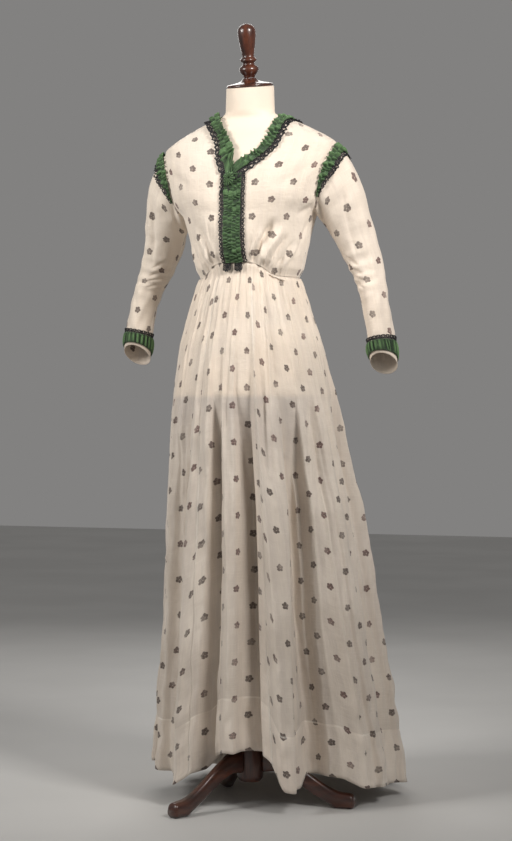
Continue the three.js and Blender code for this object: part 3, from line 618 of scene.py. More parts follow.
class Recipe:
    """The nodes of one finish."""

    def __init__(self, name: str) -> None:
        """Start an empty material.

        Args:
            name: Name of the material.
        """
        self.material = bpy.data.materials.new(name)
        self.material.use_nodes = True
        self.tree = self.material.node_tree
        self.tree.nodes.clear()

    def feed(self, socket: Socket, value: object) -> None:
        """Link a value to a socket, or set it there.

        Args:
            socket: What is fed.
            value: Amount, socket or plain value.
        """
        if isinstance(value, Amount):
            value = value.socket
        if isinstance(value, Socket):
            self.tree.links.new(value, socket)
        else:
            socket.default_value = value

    def node(
        self,
        kind: str,
        settings: dict[str, object] | None = None,
        sockets: dict[str | int, object] | None = None,
    ) -> bpy.types.Node:
        """Add a node.

        Args:
            kind: Type of the node.
            settings: Its settings, with a ramp's stops as pairs of place and colour.
            sockets: Values or links of its inputs, by name or number.

        Returns:
            The new node.
        """
        node = self.tree.nodes.new(kind)
        for key, value in (settings or {}).items():
            if key == "stops":
                self._ramp(node, value)
            else:
                setattr(node, key, value)
        for key, value in (sockets or {}).items():
            self.feed(node.inputs[key], value)
        return node

    @staticmethod
    def _ramp(node: bpy.types.Node, stops: Sequence[tuple[float, Colour]]) -> None:
        """Set the stops of a colour ramp.

        Args:
            node: The ramp.
            stops: Place and colour of each stop.
        """
        elements = node.color_ramp.elements
        while len(elements) < len(stops):
            elements.new(0.5)
        for element, (place, colour) in zip(elements, stops):
            element.position = place
            element.color = colour

    def maths(self, operation: str, *values: Amount | float) -> Amount:
        """Result of a Math node."""
        node = self.node("ShaderNodeMath", {"operation": operation}, dict(enumerate(values)))
        return Amount(self, node.outputs[0])

    def step(self, value: Amount, low: float, high: float) -> Amount:
        """Ease from 0 at low to 1 at high.

        Args:
            value: What is eased.
            low: Where it starts.
            high: Where it ends.

        Returns:
            The eased amount.
        """
        node = self.node(
            "ShaderNodeMapRange",
            {"interpolation_type": "SMOOTHSTEP"},
            {"Value": value, "From Min": low, "From Max": high},
        )
        return Amount(self, node.outputs["Result"])

    def blend(self, share: Amount | float, first: object, second: object) -> Socket:
        """Mix of two colours."""
        values = {0: share, 6: first, 7: second}
        return self.node("ShaderNodeMix", {"data_type": "RGBA"}, values).outputs[2]

    def vector(self, x: Amount | float, y: Amount | float, z: Amount | float = 0.0) -> Socket:
        """Vector of three numbers."""
        return self.node("ShaderNodeCombineXYZ", None, {0: x, 1: y, 2: z}).outputs[0]

    def split(self, vector: Socket) -> tuple[Amount, Amount, Amount]:
        """The three numbers of a vector."""
        node = self.node("ShaderNodeSeparateXYZ", None, {0: vector})
        return tuple(Amount(self, socket) for socket in node.outputs)

    def map(self, name: str) -> tuple[Amount, Amount]:
        """Both coordinates of one of the piece's own maps."""
        node = self.node("ShaderNodeUVMap", {"uv_map": name})
        return self.split(node.outputs["UV"])[:2]

    def place(self) -> Socket:
        """Place in the row frame."""
        return self.node("ShaderNodeTexCoord").outputs["Object"]

    def noise(
        self, where: Socket, scale: float, detail: float = 3.0, roughness: float = 0.5
    ) -> Amount:
        """Noise about 0.5."""
        values = {"Vector": where, "Scale": scale, "Detail": detail, "Roughness": roughness}
        return Amount(self, self.node("ShaderNodeTexNoise", None, values).outputs[0])

    def bump(self, height: Amount, distance: float) -> Socket:
        """Normal of a relief, its depth in metres."""
        values = {"Height": height, "Distance": distance, "Strength": 1.0}
        return self.node("ShaderNodeBump", None, values).outputs[0]

    def surface(self, sockets: dict[str, object]) -> Material:
        """Close the recipe with its one shader.

        Args:
            sockets: Values or links of the shader's inputs.

        Returns:
            The finished material.
        """
        shader = self.node("ShaderNodeBsdfPrincipled", None, sockets)
        self.node("ShaderNodeOutputMaterial", None, {"Surface": shader.outputs[0]})
        return self.material


# --- finishes


@dataclass(frozen=True)
class SprigMuslin:
    """Sheer cotton muslin printed with small sprigs in a half drop."""

    name: str
    cover: float = 0.86
    facing: float = 0.0
    phase: tuple[float, float] = (0.0, 0.0)
    streaks: float = 0.2
    # height of the form's base: the skirt is painted darker below it and lighter above it
    backed_above: float = 0.0
    column: float = 0.0345
    pitch: float = 0.074
    light: Colour = (0.86, 0.765, 0.66, 1)
    shade: Colour = (0.74, 0.645, 0.545, 1)
    ink: Colour = (0.026, 0.016, 0.015, 1)
    leaf: Colour = (0.20, 0.148, 0.125, 1)
    rose: Colour = (0.27, 0.115, 0.105, 1)

    def _sprig(self, recipe: Recipe, u: Amount, v: Amount) -> tuple[Amount, Amount, Amount, Amount]:
        """Masks of the printed sprig: its spread, its dark line, its leaves and its rose tint.

        Args:
            recipe: Recipe of the cloth.
            u: Place across the flat cloth.
            v: Place up it.

        Returns:
            The four masks.
        """
        across = (u + self.phase[0]) / self.column
        column = recipe.maths("FLOOR", across)
        odd = recipe.maths("FLOORED_MODULO", column, 2.0)
        down = (v + self.phase[1]) / self.pitch + odd * 0.5
        row = recipe.maths("FLOOR", down)
        place = {"Vector": recipe.vector(column, row)}
        chance = recipe.node("ShaderNodeTexWhiteNoise", {"noise_dimensions": "2D"}, place)
        lean = Amount(recipe, chance.outputs["Value"])
        x = (across - column - 0.5) * (self.column * 1000) + (lean - 0.5) * 3.0
        y = (down - row - 0.5) * (self.pitch * 1000)
        wobble = recipe.noise(recipe.vector(u, v), 420.0, 2.0) - 0.5
        reach = recipe.maths("SQRT", x * x * 1.1 + y * y * 0.92) + wobble * 1.6
        turn = recipe.maths("ARCTAN2", y, x) + lean * 2.5
        petal = recipe.maths("COSINE", turn * 5.0)
        rim = 6.8 + petal * 0.8
        flower = recipe.step(rim - reach, -0.4, 0.5)
        heart_x, heart_y = x - 0.8, y + 0.9
        heart = 1 - recipe.step(recipe.maths("SQRT", heart_x * heart_x + heart_y * heart_y), 0.7, 1.8)
        vein = recipe.step(petal * -1.0, 0.0, 0.7) * recipe.step(reach, 2.0, 3.0)
        rings = (1 - recipe.step(recipe.maths("ABSOLUTE", rim - reach - 1.3), 0.9, 2.0)) * 0.8
        blotch = recipe.step(recipe.noise(recipe.vector(u, v), 330.0, 2.0), 0.44, 0.6)
        line = recipe.maths("MAXIMUM", rings * 0.5, (1 - vein) * 0.7)
        line = recipe.maths("MAXIMUM", line, blotch * 0.85)
        line = recipe.maths("MINIMUM", line, 1 - heart * 0.7) * flower
        leaf_x, leaf_y = x * 0.7 + y * 0.7 + 6.0, y * 0.7 - x * 0.7
        away = recipe.maths("SQRT", leaf_x * leaf_x / 4.0 + leaf_y * leaf_y / 7.0)
        leaves = (1 - recipe.step(away, 0.8, 1.1)) * (1 - flower)
        quarter = recipe.maths("FLOORED_MODULO", column, 4.0)
        rosy = (1 - recipe.step(quarter, 0.2, 0.8)) * 0.85 + recipe.step(lean, 0.72, 0.8) * 0.35
        spread = recipe.maths("MINIMUM", flower * (0.8 + line * 0.2) * (1 - heart * 0.25) + leaves, 1.0)
        return spread, line, leaves, rosy

    def make(self) -> Material:
        """Build the material.

        Returns:
            The finished material.
        """
        recipe = Recipe(self.name)
        u, v = recipe.map("flat")
        side, foot = recipe.map("edge")
        where = recipe.place()
        spread, line, leaves, rosy = self._sprig(recipe, u, v)
        wash = recipe.noise(where, 5.0, 4.0, 0.6)
        ground = recipe.blend(recipe.step(wash, 0.34, 0.68), self.shade, self.light)
        cream = recipe.step(recipe.noise(where, 2.3, 2.0), 0.52, 0.72) * 0.35
        ground = recipe.blend(cream, ground, (0.82, 0.68, 0.575, 1))
        warp = recipe.noise(recipe.vector(u * 900.0, v * 26.0), 1.0, 2.0)
        weft = recipe.noise(recipe.vector(u * 26.0, v * 900.0), 1.0, 2.0)
        slub = recipe.step(warp, 0.5, 0.75) + recipe.step(weft, 0.5, 0.75)
        ground = recipe.blend(slub * 0.18, ground, (0.92, 0.85, 0.76, 1))
        streak = recipe.noise(recipe.vector(u * 60.0, v * 3.2), 1.0, 4.0, 0.6)
        streak = recipe.step(streak, 0.38, 0.66) * self.streaks
        ground = recipe.blend(streak, ground, (0.56, 0.485, 0.44, 1))
        # Painted shade and light by height: below the form's base the cloth is painted darker, most in
        # the band just under it, as if the unlit inside showed through; over the form it is painted
        # lighter and warmer, partly the form's cream cover showing through and partly painted light.
        if self.backed_above:
            sideways, _, height = recipe.split(where)
            over_form = 1 - recipe.step(recipe.maths("ABSOLUTE", sideways), 0.11, 0.165)
            patchy = recipe.step(recipe.noise(where, 9.0, 2.0), 0.36, 0.62)
            edge = self.backed_above
            backed = recipe.step(height, edge - 0.006, edge + 0.008)
            hollow = recipe.step(height, edge - 0.16, edge - 0.01) * (1 - backed)
            painted_hollow_shade = hollow * over_form * (0.08 + patchy * 0.3)
            ground = recipe.blend(painted_hollow_shade, ground, (0.47, 0.42, 0.40, 1))
            # painted shade over all the cloth below the form's base
            ground = recipe.blend((1 - backed) * 0.14, ground, (0.56, 0.51, 0.475, 1))
            # painted light, with the form's cream, over the form
            painted_form_light = backed * over_form * (0.14 + patchy * 0.3)
            ground = recipe.blend(painted_form_light, ground, (0.93, 0.78, 0.63, 1))
        body = recipe.blend(rosy, self.leaf, self.rose)
        print_tint = recipe.blend(line, body, self.ink)
        print_tint = recipe.blend(leaves, print_tint, self.leaf)
        faded = 0.95 - recipe.step(recipe.noise(where, 38.0, 2.0), 0.4, 0.75) * 0.3
        colour = recipe.blend(spread * faded, ground, print_tint)
        seam = 1 - recipe.step(side, 0.0012, 0.0022)
        seam = seam * recipe.step(recipe.noise(where, 3.4, 1.0), 0.4, 0.58)
        turned_up = 1 - recipe.step(foot, self.facing - 0.0008, self.facing + 0.0008)
        stitched = 1 - recipe.step(
            recipe.maths("ABSOLUTE", foot - self.facing + 0.002), 0.0008, 0.0026
        )
        caught = stitched * recipe.step(recipe.noise(recipe.vector(u, v), 22.0, 2.0), 0.4, 0.62)
        pale = seam * 0.5 + caught * (0.45 if self.facing else 0.0)
        colour = recipe.blend(pale, colour, (0.95, 0.90, 0.82, 1))
        threads = recipe.maths("SINE", u * (math.tau / 0.0008))
        threads = threads + recipe.maths("SINE", v * (math.tau / 0.0009))
        relief = threads * 0.08 + slub * 0.5 + seam * 0.9 + turned_up * 0.8 - stitched * 0.9
        rumple = recipe.noise(recipe.vector(u, v), 34.0, 3.0, 0.55)
        doubled = recipe.maths("MAXIMUM", seam, turned_up * (1.0 if self.facing else 0.0))
        cover = self.cover + slub * 0.05 + spread * 0.12 + doubled * (0.97 - self.cover)
        return recipe.surface(
            {
                "Base Color": colour,
                "Roughness": 0.82 - slub * 0.06,
                "Alpha": recipe.maths("MINIMUM", cover, 1.0),
                "Normal": recipe.bump(relief * 0.35 + rumple * 3.0, 0.0009),
                "Sheen Weight": 0.25,
                "Sheen Roughness": 0.5,
                "Specular IOR Level": 0.25,
            }
        )


@dataclass(frozen=True)
class GatheredSilk:
    """Green silk gauze, crushed into fine gathers across its strip, with painted shade between its
    pleats.
    """

    name: str = "crushed green silk"
    dark: Colour = (0.003, 0.012, 0.004, 1)
    light: Colour = (0.105, 0.205, 0.075, 1)

    def make(self) -> Material:
        """Build the material.

        Returns:
            The finished material.
        """
        recipe = Recipe(self.name)
        u, v = recipe.map("flat")
        where = recipe.place()
        gather = recipe.noise(recipe.vector(u * 420.0, v * 60.0), 1.0, 3.0)
        mottle = recipe.noise(where, 120.0, 3.0)
        # Painted shade: the second map holds each pleat's height, so the colour runs dark in the
        # valleys and light on the ridges.
        wave, _ = recipe.map("edge")
        tone = recipe.step(gather * 0.22 + mottle * 0.22 + wave * 0.56, 0.24, 0.78)
        colour = recipe.blend(tone, self.dark, self.light)
        worn = recipe.step(recipe.noise(where, 60.0, 2.0), 0.62, 0.75) * 0.4
        colour = recipe.blend(worn, colour, (0.13, 0.21, 0.10, 1))
        threads = recipe.maths("SINE", v * (math.tau / 0.0007)) * 0.1
        return recipe.surface(
            {
                "Base Color": colour,
                "Roughness": 0.48 + mottle * 0.2,
                "Normal": recipe.bump(gather + threads, 0.0012),
                "Sheen Weight": 0.4,
                "Sheen Tint": (0.5, 0.8, 0.45, 1),
                "Specular IOR Level": 0.4,
            }
        )


@dataclass(frozen=True)
class BobbinLace:
    """Narrow black lace: a solid heading, a net with eyelets, and a scalloped edge."""

    name: str
    width: float
    scallop: float
    mesh: float = 0.0031
    eyelet: float = 0.12

    def make(self) -> Material:
        """Build the material.

        Returns:
            The finished material.
        """
        recipe = Recipe(self.name)
        u, v = recipe.map("flat")
        row = recipe.maths("FLOOR", v / self.mesh)
        odd = recipe.maths("FLOORED_MODULO", row, 2.0)
        x = recipe.maths("FRACT", u / self.mesh + odd * 0.5) - 0.5
        y = recipe.maths("FRACT", v / self.mesh) - 0.5
        hole = 1 - recipe.step(recipe.maths("SQRT", x * x + y * y), 0.26, 0.36)
        across = v / self.width
        centre = recipe.maths("FRACT", u / self.scallop) - 0.5
        fan_x = centre * (self.scallop / self.width)
        fan_y = across - 0.56
        fan = recipe.maths("SQRT", fan_x * fan_x + fan_y * fan_y)
        eyelet = 1 - recipe.step(fan, self.eyelet, self.eyelet + 0.04)
        ring = recipe.step(fan, 0.16, 0.2) * (1 - recipe.step(fan, 0.24, 0.29))
        solid = recipe.maths("MAXIMUM", 1 - recipe.step(across, 0.05, 0.09), ring)
        edge = 0.93 - recipe.maths("ABSOLUTE", centre) ** 2.0 * 0.75
        rim = 1 - recipe.step(recipe.maths("ABSOLUTE", across - edge + 0.05), 0.04, 0.07)
        solid = recipe.maths("MAXIMUM", solid, rim)
        open_net = recipe.maths("MAXIMUM", hole, eyelet) * (1 - solid)
        inside = 1 - recipe.step(across - edge, 0.0, 0.02)
        cover = (1 - open_net) * inside
        tone = recipe.noise(recipe.vector(u, v), 900.0, 2.0)
        colour = recipe.blend(tone * 0.6, (0.006, 0.006, 0.008, 1), (0.035, 0.033, 0.036, 1))
        return recipe.surface(
            {
                "Base Color": colour,
                "Roughness": 0.62,
                "Alpha": cover,
                "Normal": recipe.bump(solid + tone * 0.4, 0.0005),
                "Specular IOR Level": 0.35,
            }
        )


@dataclass(frozen=True)
class FormLinen:
    """Close cream linen of the dress form's cover."""

    name: str = "cream linen cover"
    light: Colour = (0.81, 0.70, 0.58, 1)
    shade: Colour = (0.87, 0.735, 0.60, 1)

    def make(self) -> Material:
        """Build the material.

        Returns:
            The finished material.
        """
        recipe = Recipe(self.name)
        u, v = recipe.map("flat")
        tone = recipe.noise(recipe.place(), 7.0, 4.0, 0.55)
        colour = recipe.blend(recipe.step(tone, 0.35, 0.65), self.shade, self.light)
        warp = recipe.noise(recipe.vector(u * 1500.0, v * 120.0), 1.0, 2.0)
        weft = recipe.noise(recipe.vector(u * 120.0, v * 1500.0), 1.0, 2.0)
        colour = recipe.blend((warp + weft) * 0.08, colour, (0.97, 0.9, 0.8, 1))
        return recipe.surface(
            {
                "Base Color": colour,
                "Roughness": 0.78,
                "Normal": recipe.bump(warp + weft, 0.0003),
                "Sheen Weight": 0.15,
                "Specular IOR Level": 0.3,
            }
        )


@dataclass(frozen=True)
class PolishedWood:
    """Dark reddish hardwood, turned and polished."""

    name: str
    upright: bool = True

    def make(self) -> Material:
        """Build the material.

        Returns:
            The finished material.
        """
        recipe = Recipe(self.name)
        x, y, z = recipe.split(recipe.place())
        if self.upright:
            along = recipe.vector(x * 60.0, y * 60.0, z * 7.0)
        else:
            along = recipe.vector(x * 14.0, y * 14.0, z * 60.0)
        grain = recipe.noise(along, 1.0, 5.0, 0.6)
        pores = recipe.noise(along, 9.0, 2.0)
        ramp = recipe.node(
            "ShaderNodeValToRGB",
            {
                "stops": (
                    (0.25, (0.010, 0.0035, 0.002, 1)),
                    (0.5, (0.052, 0.013, 0.0065, 1)),
                    (0.78, (0.125, 0.035, 0.015, 1)),
                )
            },
            {"Fac": grain},
        )
        dark = recipe.step(pores, 0.58, 0.7) * 0.6
        colour = recipe.blend(dark, ramp.outputs[0], (0.008, 0.003, 0.002, 1))
        rubbed = recipe.noise(recipe.place(), 30.0, 2.0)
        return recipe.surface(
            {
                "Base Color": colour,
                "Roughness": 0.26 + rubbed * 0.16,
                "Normal": recipe.bump(pores * -1.0, 0.0002),
                "Coat Weight": 0.6,
                "Coat Roughness": 0.12,
            }
        )


# --- the garment's own surfaces


@dataclass(frozen=True)
class Levels:
    """Heights that the pieces of the dress share, in millimetres."""

    underarm: float = 1204
    shoulder: float = 1343
    neck_side: float = 1402
    neck_back: float = 1394
    neck_front: float = 1301
    waist_side: float = 1074
    waist_rise: float = 29
    rise_angle: float = 38
    torso_bottom: float = 832
    neck_top: float = 1468

    def waist(self, angle: Array | float) -> Array:
        """Height of the waist seam at an angle."""
        return self.waist_side + self.waist_rise * np.exp(-((turn_of(angle) / self.rise_angle) ** 4))


LEVELS = Levels()
FACING = 112  # depth of the facing inside the skirt's hem
CREASE_GAIN = 1.7  # how much deeper the listed creases are than their rows
TAB_LIFT = 2.4 + 2.2  # height of the lace tabs over the skirt's even surface
SEAM = 0.4  # gap between two pieces at a seam
SKIRT_SEAM = 0.3  # share of that gap between two breadths
LIE = 1.1  # height of the trimming's foot over the cloth
NARROWEST = 0.0102  # narrowest cut that the frame takes, in metres


def polar(angle: Array) -> tuple[Array, Array]:
    """Sine and cosine of an angle in degrees."""
    return np.sin(np.radians(angle)), np.cos(np.radians(angle))


@dataclass
class BodiceShape:
    """The worn bodice as one surface over angle and height."""

    ovals: Table = Table(
        "z half front back",
        [
            (1060, 103, 82, 78), (1084, 105, 84, 80), (1125, 115, 92, 87), (1150, 124, 97, 93),
            (1199, 140, 108, 103), (1231, 164, 109, 108), (1268, 176, 103, 108),
            (1303, 184, 89, 100), (1330, 188, 73, 87), (1343, 187, 67, 79), (1358, 170, 61, 71),
            (1375, 139, 56, 63), (1390, 108, 51, 57), (1400, 80, 48, 53), (1410, 56, 46, 50),
        ],
    )
    gather_columns: float = 14
    gather_crowding: float = 1.35

    @property
    def surface(self) -> Surface:
        """The bodice over angle and height."""
        return Surface(self.at)

    def fullness(self, angle: Array, z: Array) -> Array:
        """Blousing over the waist, gathers, and the hollow between the breasts, outward.

        Args:
            angle: Angle round the body.
            z: Height.

        Returns:
            Millimetres outward.
        """
        turn = np.abs(turn_of(angle))
        rise = z - LEVELS.waist(angle)
        blouse = 7 * smooth(rise, 0, 22) * (1 - smooth(rise, 30, 110))
        place = self.gather_columns * (np.minimum(turn, 90) / 90) ** (1 / self.gather_crowding)
        gathered = smooth(turn, 14, 20) * (1 - smooth(turn, 50, 62)) * (1 - smooth(rise, 20, 130))
        hollow = 11 * np.exp(-((turn / 20) ** 2)) * smooth(z, 1150, 1215) * (1 - smooth(z, 1250, 1320))
        return blouse + 2 * gathered * np.cos(np.pi * place) - hollow

    def at(self, angle: Array, z: Array) -> Array:
        """Point of the outer surface.

        Args:
            angle: Angle round the body.
            z: Height.

        Returns:
            The point.
        """
        angle, z = np.broadcast_arrays(np.asarray(angle, float), np.asarray(z, float))
        sine, cosine = polar(angle)
        half = self.ovals["half"](z)
        depth = np.where(cosine > 0, self.ovals["front"](z), self.ovals["back"](z))
        front = self.ovals["front"](z)
        point = np.stack([half * sine, -depth * cosine, z], axis=-1)
        out = unit(np.stack([point[..., 0] / half**2, point[..., 1] / front**2, 0 * z], axis=-1))
        return point + out * self.fullness(angle, z)[..., None]


@dataclass
class SkirtShape:
    """The hanging skirt as one surface over angle and height."""

    ovals: Table = Table(
        "z half depth middle",
        [
            (1110, 108, 85, -1), (1084, 104, 82, -2), (1060, 112, 90, -1), (1018, 125, 102, 0),
            (986, 134, 110, 2), (937, 150, 124, 6), (887, 161, 135, 11), (838, 170, 144, 17),
            (773, 181, 156, 27), (674, 193, 172, 48), (609, 204, 184, 62), (478, 217, 205, 86),
            (346, 229, 224, 104), (215, 246, 242, 121), (80, 261, 253, 138), (0, 268, 262, 149),
        ],
    )
    folds: Curve = Curve(
        [
            (-162, -16), (-148, 20), (-134, -22), (-118, 16), (-103, -20), (-88, 12), (-76, -14),
            (-60, 8), (-38, -22), (-25, 16), (-9, -24), (0, 6), (13, -24), (25, 16), (45, -46),
            (68, 12), (86, -4), (101, 14), (116, -18), (130, 14), (146, -26), (162, 22),
            (178, -20), (190, 18),
        ],
        360,
    )
    hem: Curve = Curve(
        [
            (-130, 20), (-100, 44), (-75, 68), (-58, 62), (-40, 52), (-28, 46), (-18, 76),
            (-10, 108), (0, 121), (14, 118), (19, 106), (25, 48), (33, 44), (41, 66), (54, 64),
            (64, 42), (84, 36), (104, 28), (140, 18), (180, 14),
        ],
        360,
    )
    gather_angle: float = 8
    gather_depth: float = 1.0

    def envelope(self, angle: Array, z: Array, swell: Array | float) -> Array:
        """Point of the smooth envelope, swelled outward.

        Args:
            angle: Angle round the body.
            z: Height.
            swell: Millimetres outward.

        Returns:
            The point.
        """
        sine, cosine = polar(angle)
        half, depth, middle = (self.ovals[name](z) for name in ("half", "depth", "middle"))
        point = np.stack([half * sine, middle - depth * cosine, z + 0 * sine], axis=-1)
        out = unit(np.stack([sine * depth, -cosine * half, 0 * sine], axis=-1))
        return point + out * np.asarray(swell)[..., None]

    def swell(self, angle: Array, z: Array) -> Array:
        """Large folds that grow to the hem, and the gathers at the waist.

        Args:
            angle: Angle round the body.
            z: Height.

        Returns:
            Millimetres outward.
        """
        fall = LEVELS.waist(angle) - z
        growth = smooth(fall, 60, 950) * 0.88 + smooth(fall, 0, 300) * 0.12
        gather = self.gather_depth * (1 - smooth(fall, 40, 330))
        return self.folds(angle) * growth + gather * np.cos(math.tau * angle / self.gather_angle)

    def at(self, angle: Array, z: Array) -> Array:
        """Point of the outer surface.

        Args:
            angle: Angle round the body.
            z: Height.

        Returns:
            The point.
        """
        angle, z = np.broadcast_arrays(np.asarray(angle, float), np.asarray(z, float))
        return self.envelope(angle, z, self.swell(angle, z))


@dataclass
class SleeveShape:
    """The wearer's left sleeve as one surface over the turn round the arm and the way along it."""

    bodice: BodiceShape
    rings: Table = Table(
        "along x y z high deep lift rise",
        [
            (0, 166, 0, 1273, 70, 37, 72, 0), (0.08, 181, 6, 1255, 64, 43, 58, 0),
            (0.17, 193, 18, 1225, 54, 47, 40, 0), (0.28, 203, 31, 1190, 46, 47, 24, 0),
            (0.38, 214, 44, 1155, 41, 46, 16, 0), (0.5, 230, 52, 1110, 36, 42, 14, -3),
            (0.6, 243, 50, 1072, 31, 36, 12, 2), (0.7, 252, 45, 1040, 28, 33, 12, 6),
            (0.79, 260, 41, 1005, 27, 31, 11, 6), (0.88, 267, 40, 965, 27.5, 31, 10, 6),
            (0.94, 271, 39, 940, 28, 31, 8, 12), (1, 275, 40, 900, 28, 33, 4, 38),
        ],
    )
    right_lift: float = 24
    armhole_inset: float = 24

    @property
    def surface(self) -> Surface:
        """The sleeve over the turn and the way along."""
        return Surface(self.at, step_v=0.004)

    def armhole_angle(self, z: Array, behind: Array | bool) -> Array:
        """Angle of the armhole's edge on the bodice.

        Args:
            z: Height.
            behind: Whether the edge at the back is meant.

        Returns:
            Degrees from the front.
        """
        rise = np.clip((z - LEVELS.underarm) / (LEVELS.shoulder - LEVELS.underarm), 0, 1)
        inset = self.armhole_inset * np.sqrt(np.maximum(0, 4 * rise * (1 - rise)))
        return np.where(behind, 90 + inset, 90 - inset)

    @staticmethod
    def armhole_z(turn: Array) -> Array:
        """Height on the armhole: 0 at the shoulder, 90 in front, 180 underneath."""
        middle = (LEVELS.underarm + LEVELS.shoulder) / 2
        return middle + (LEVELS.shoulder - LEVELS.underarm) / 2 * np.cos(np.radians(turn))

    def ring(self, turn: Array, along: Array) -> Array:
        """Point of the sleeve's own ring.

        Args:
            turn: Angle round the arm.
            along: Share of the way to the cuff.

        Returns:
            The point.
        """
        row = {name: curve(along) for name, curve in self.rings.curves.items()}
        lift, rise = np.radians(row["lift"]), np.radians(row["rise"])
        zero = np.zeros_like(lift)
        outward = np.stack([np.cos(lift), zero, np.sin(lift)], axis=-1)
        forward = np.stack([zero, -np.cos(rise), np.sin(rise)], axis=-1)
        centre = np.stack([row["x"], row["y"], row["z"]], axis=-1)
        sine, cosine = polar(turn)
        high, deep = (row["high"] * cosine)[..., None], (row["deep"] * sine)[..., None]
        return centre + outward * high + forward * deep

    def fold(self, turn: Array, along: Array) -> Array:
        """The long crease in front and the short ones at the elbow, outward.

        Args:
            turn: Angle round the arm.
            along: Share of the way to the cuff.

        Returns:
            Millimetres outward.
        """
        turn = np.mod(turn, 360)
        held = smooth(along, 0.1, 0.3) * (1 - smooth(along, 0.55, 0.75))
        crease = -3.5 * np.exp(-(((turn - 70) / 22) ** 2)) * held
        elbow = np.exp(-(((along - 0.58) / 0.13) ** 2)) * np.exp(-(((turn - 120) / 60) ** 2))
        return crease + 1.8 * np.cos(along * 95) * elbow

    def at(self, turn: Array, along: Array) -> Array:
        """Point of the outer surface.

        Args:
            turn: Angle round the arm.
            along: Share of the way to the cuff.

        Returns:
            The point.
        """
        turn, along = np.broadcast_arrays(np.asarray(turn, float), np.asarray(along, float))
        z = self.armhole_z(turn)
        edge = self.bodice.at(self.armhole_angle(z, np.mod(turn, 360) > 180), z)
        held = np.maximum(along, 0)
        apart = 1 - (1 - np.clip(along / 0.16, 0, 1)) ** 2
        point = mix(edge, self.ring(turn, held), apart[..., None])
        to_axis = unit(self.ring(turn, held) - self.ring(turn + 180, held))
        return point + to_axis * self.fold(turn, along)[..., None]

    def worn(self, side: Side, point: Array, along: Array) -> Array:
        """A point carried to its side, the right arm lifted towards its cuff.

        Args:
            side: Arm that it belongs to.
            point: The point on the left sleeve.
            along: Share of the way to the cuff.

        Returns:
            The point as worn.
        """
        point = point * side.mirror
        if side is Side.RIGHT:
            point[..., 2] += self.right_lift * smooth(along, 0.3, 1)
        return point


# --- the bodice


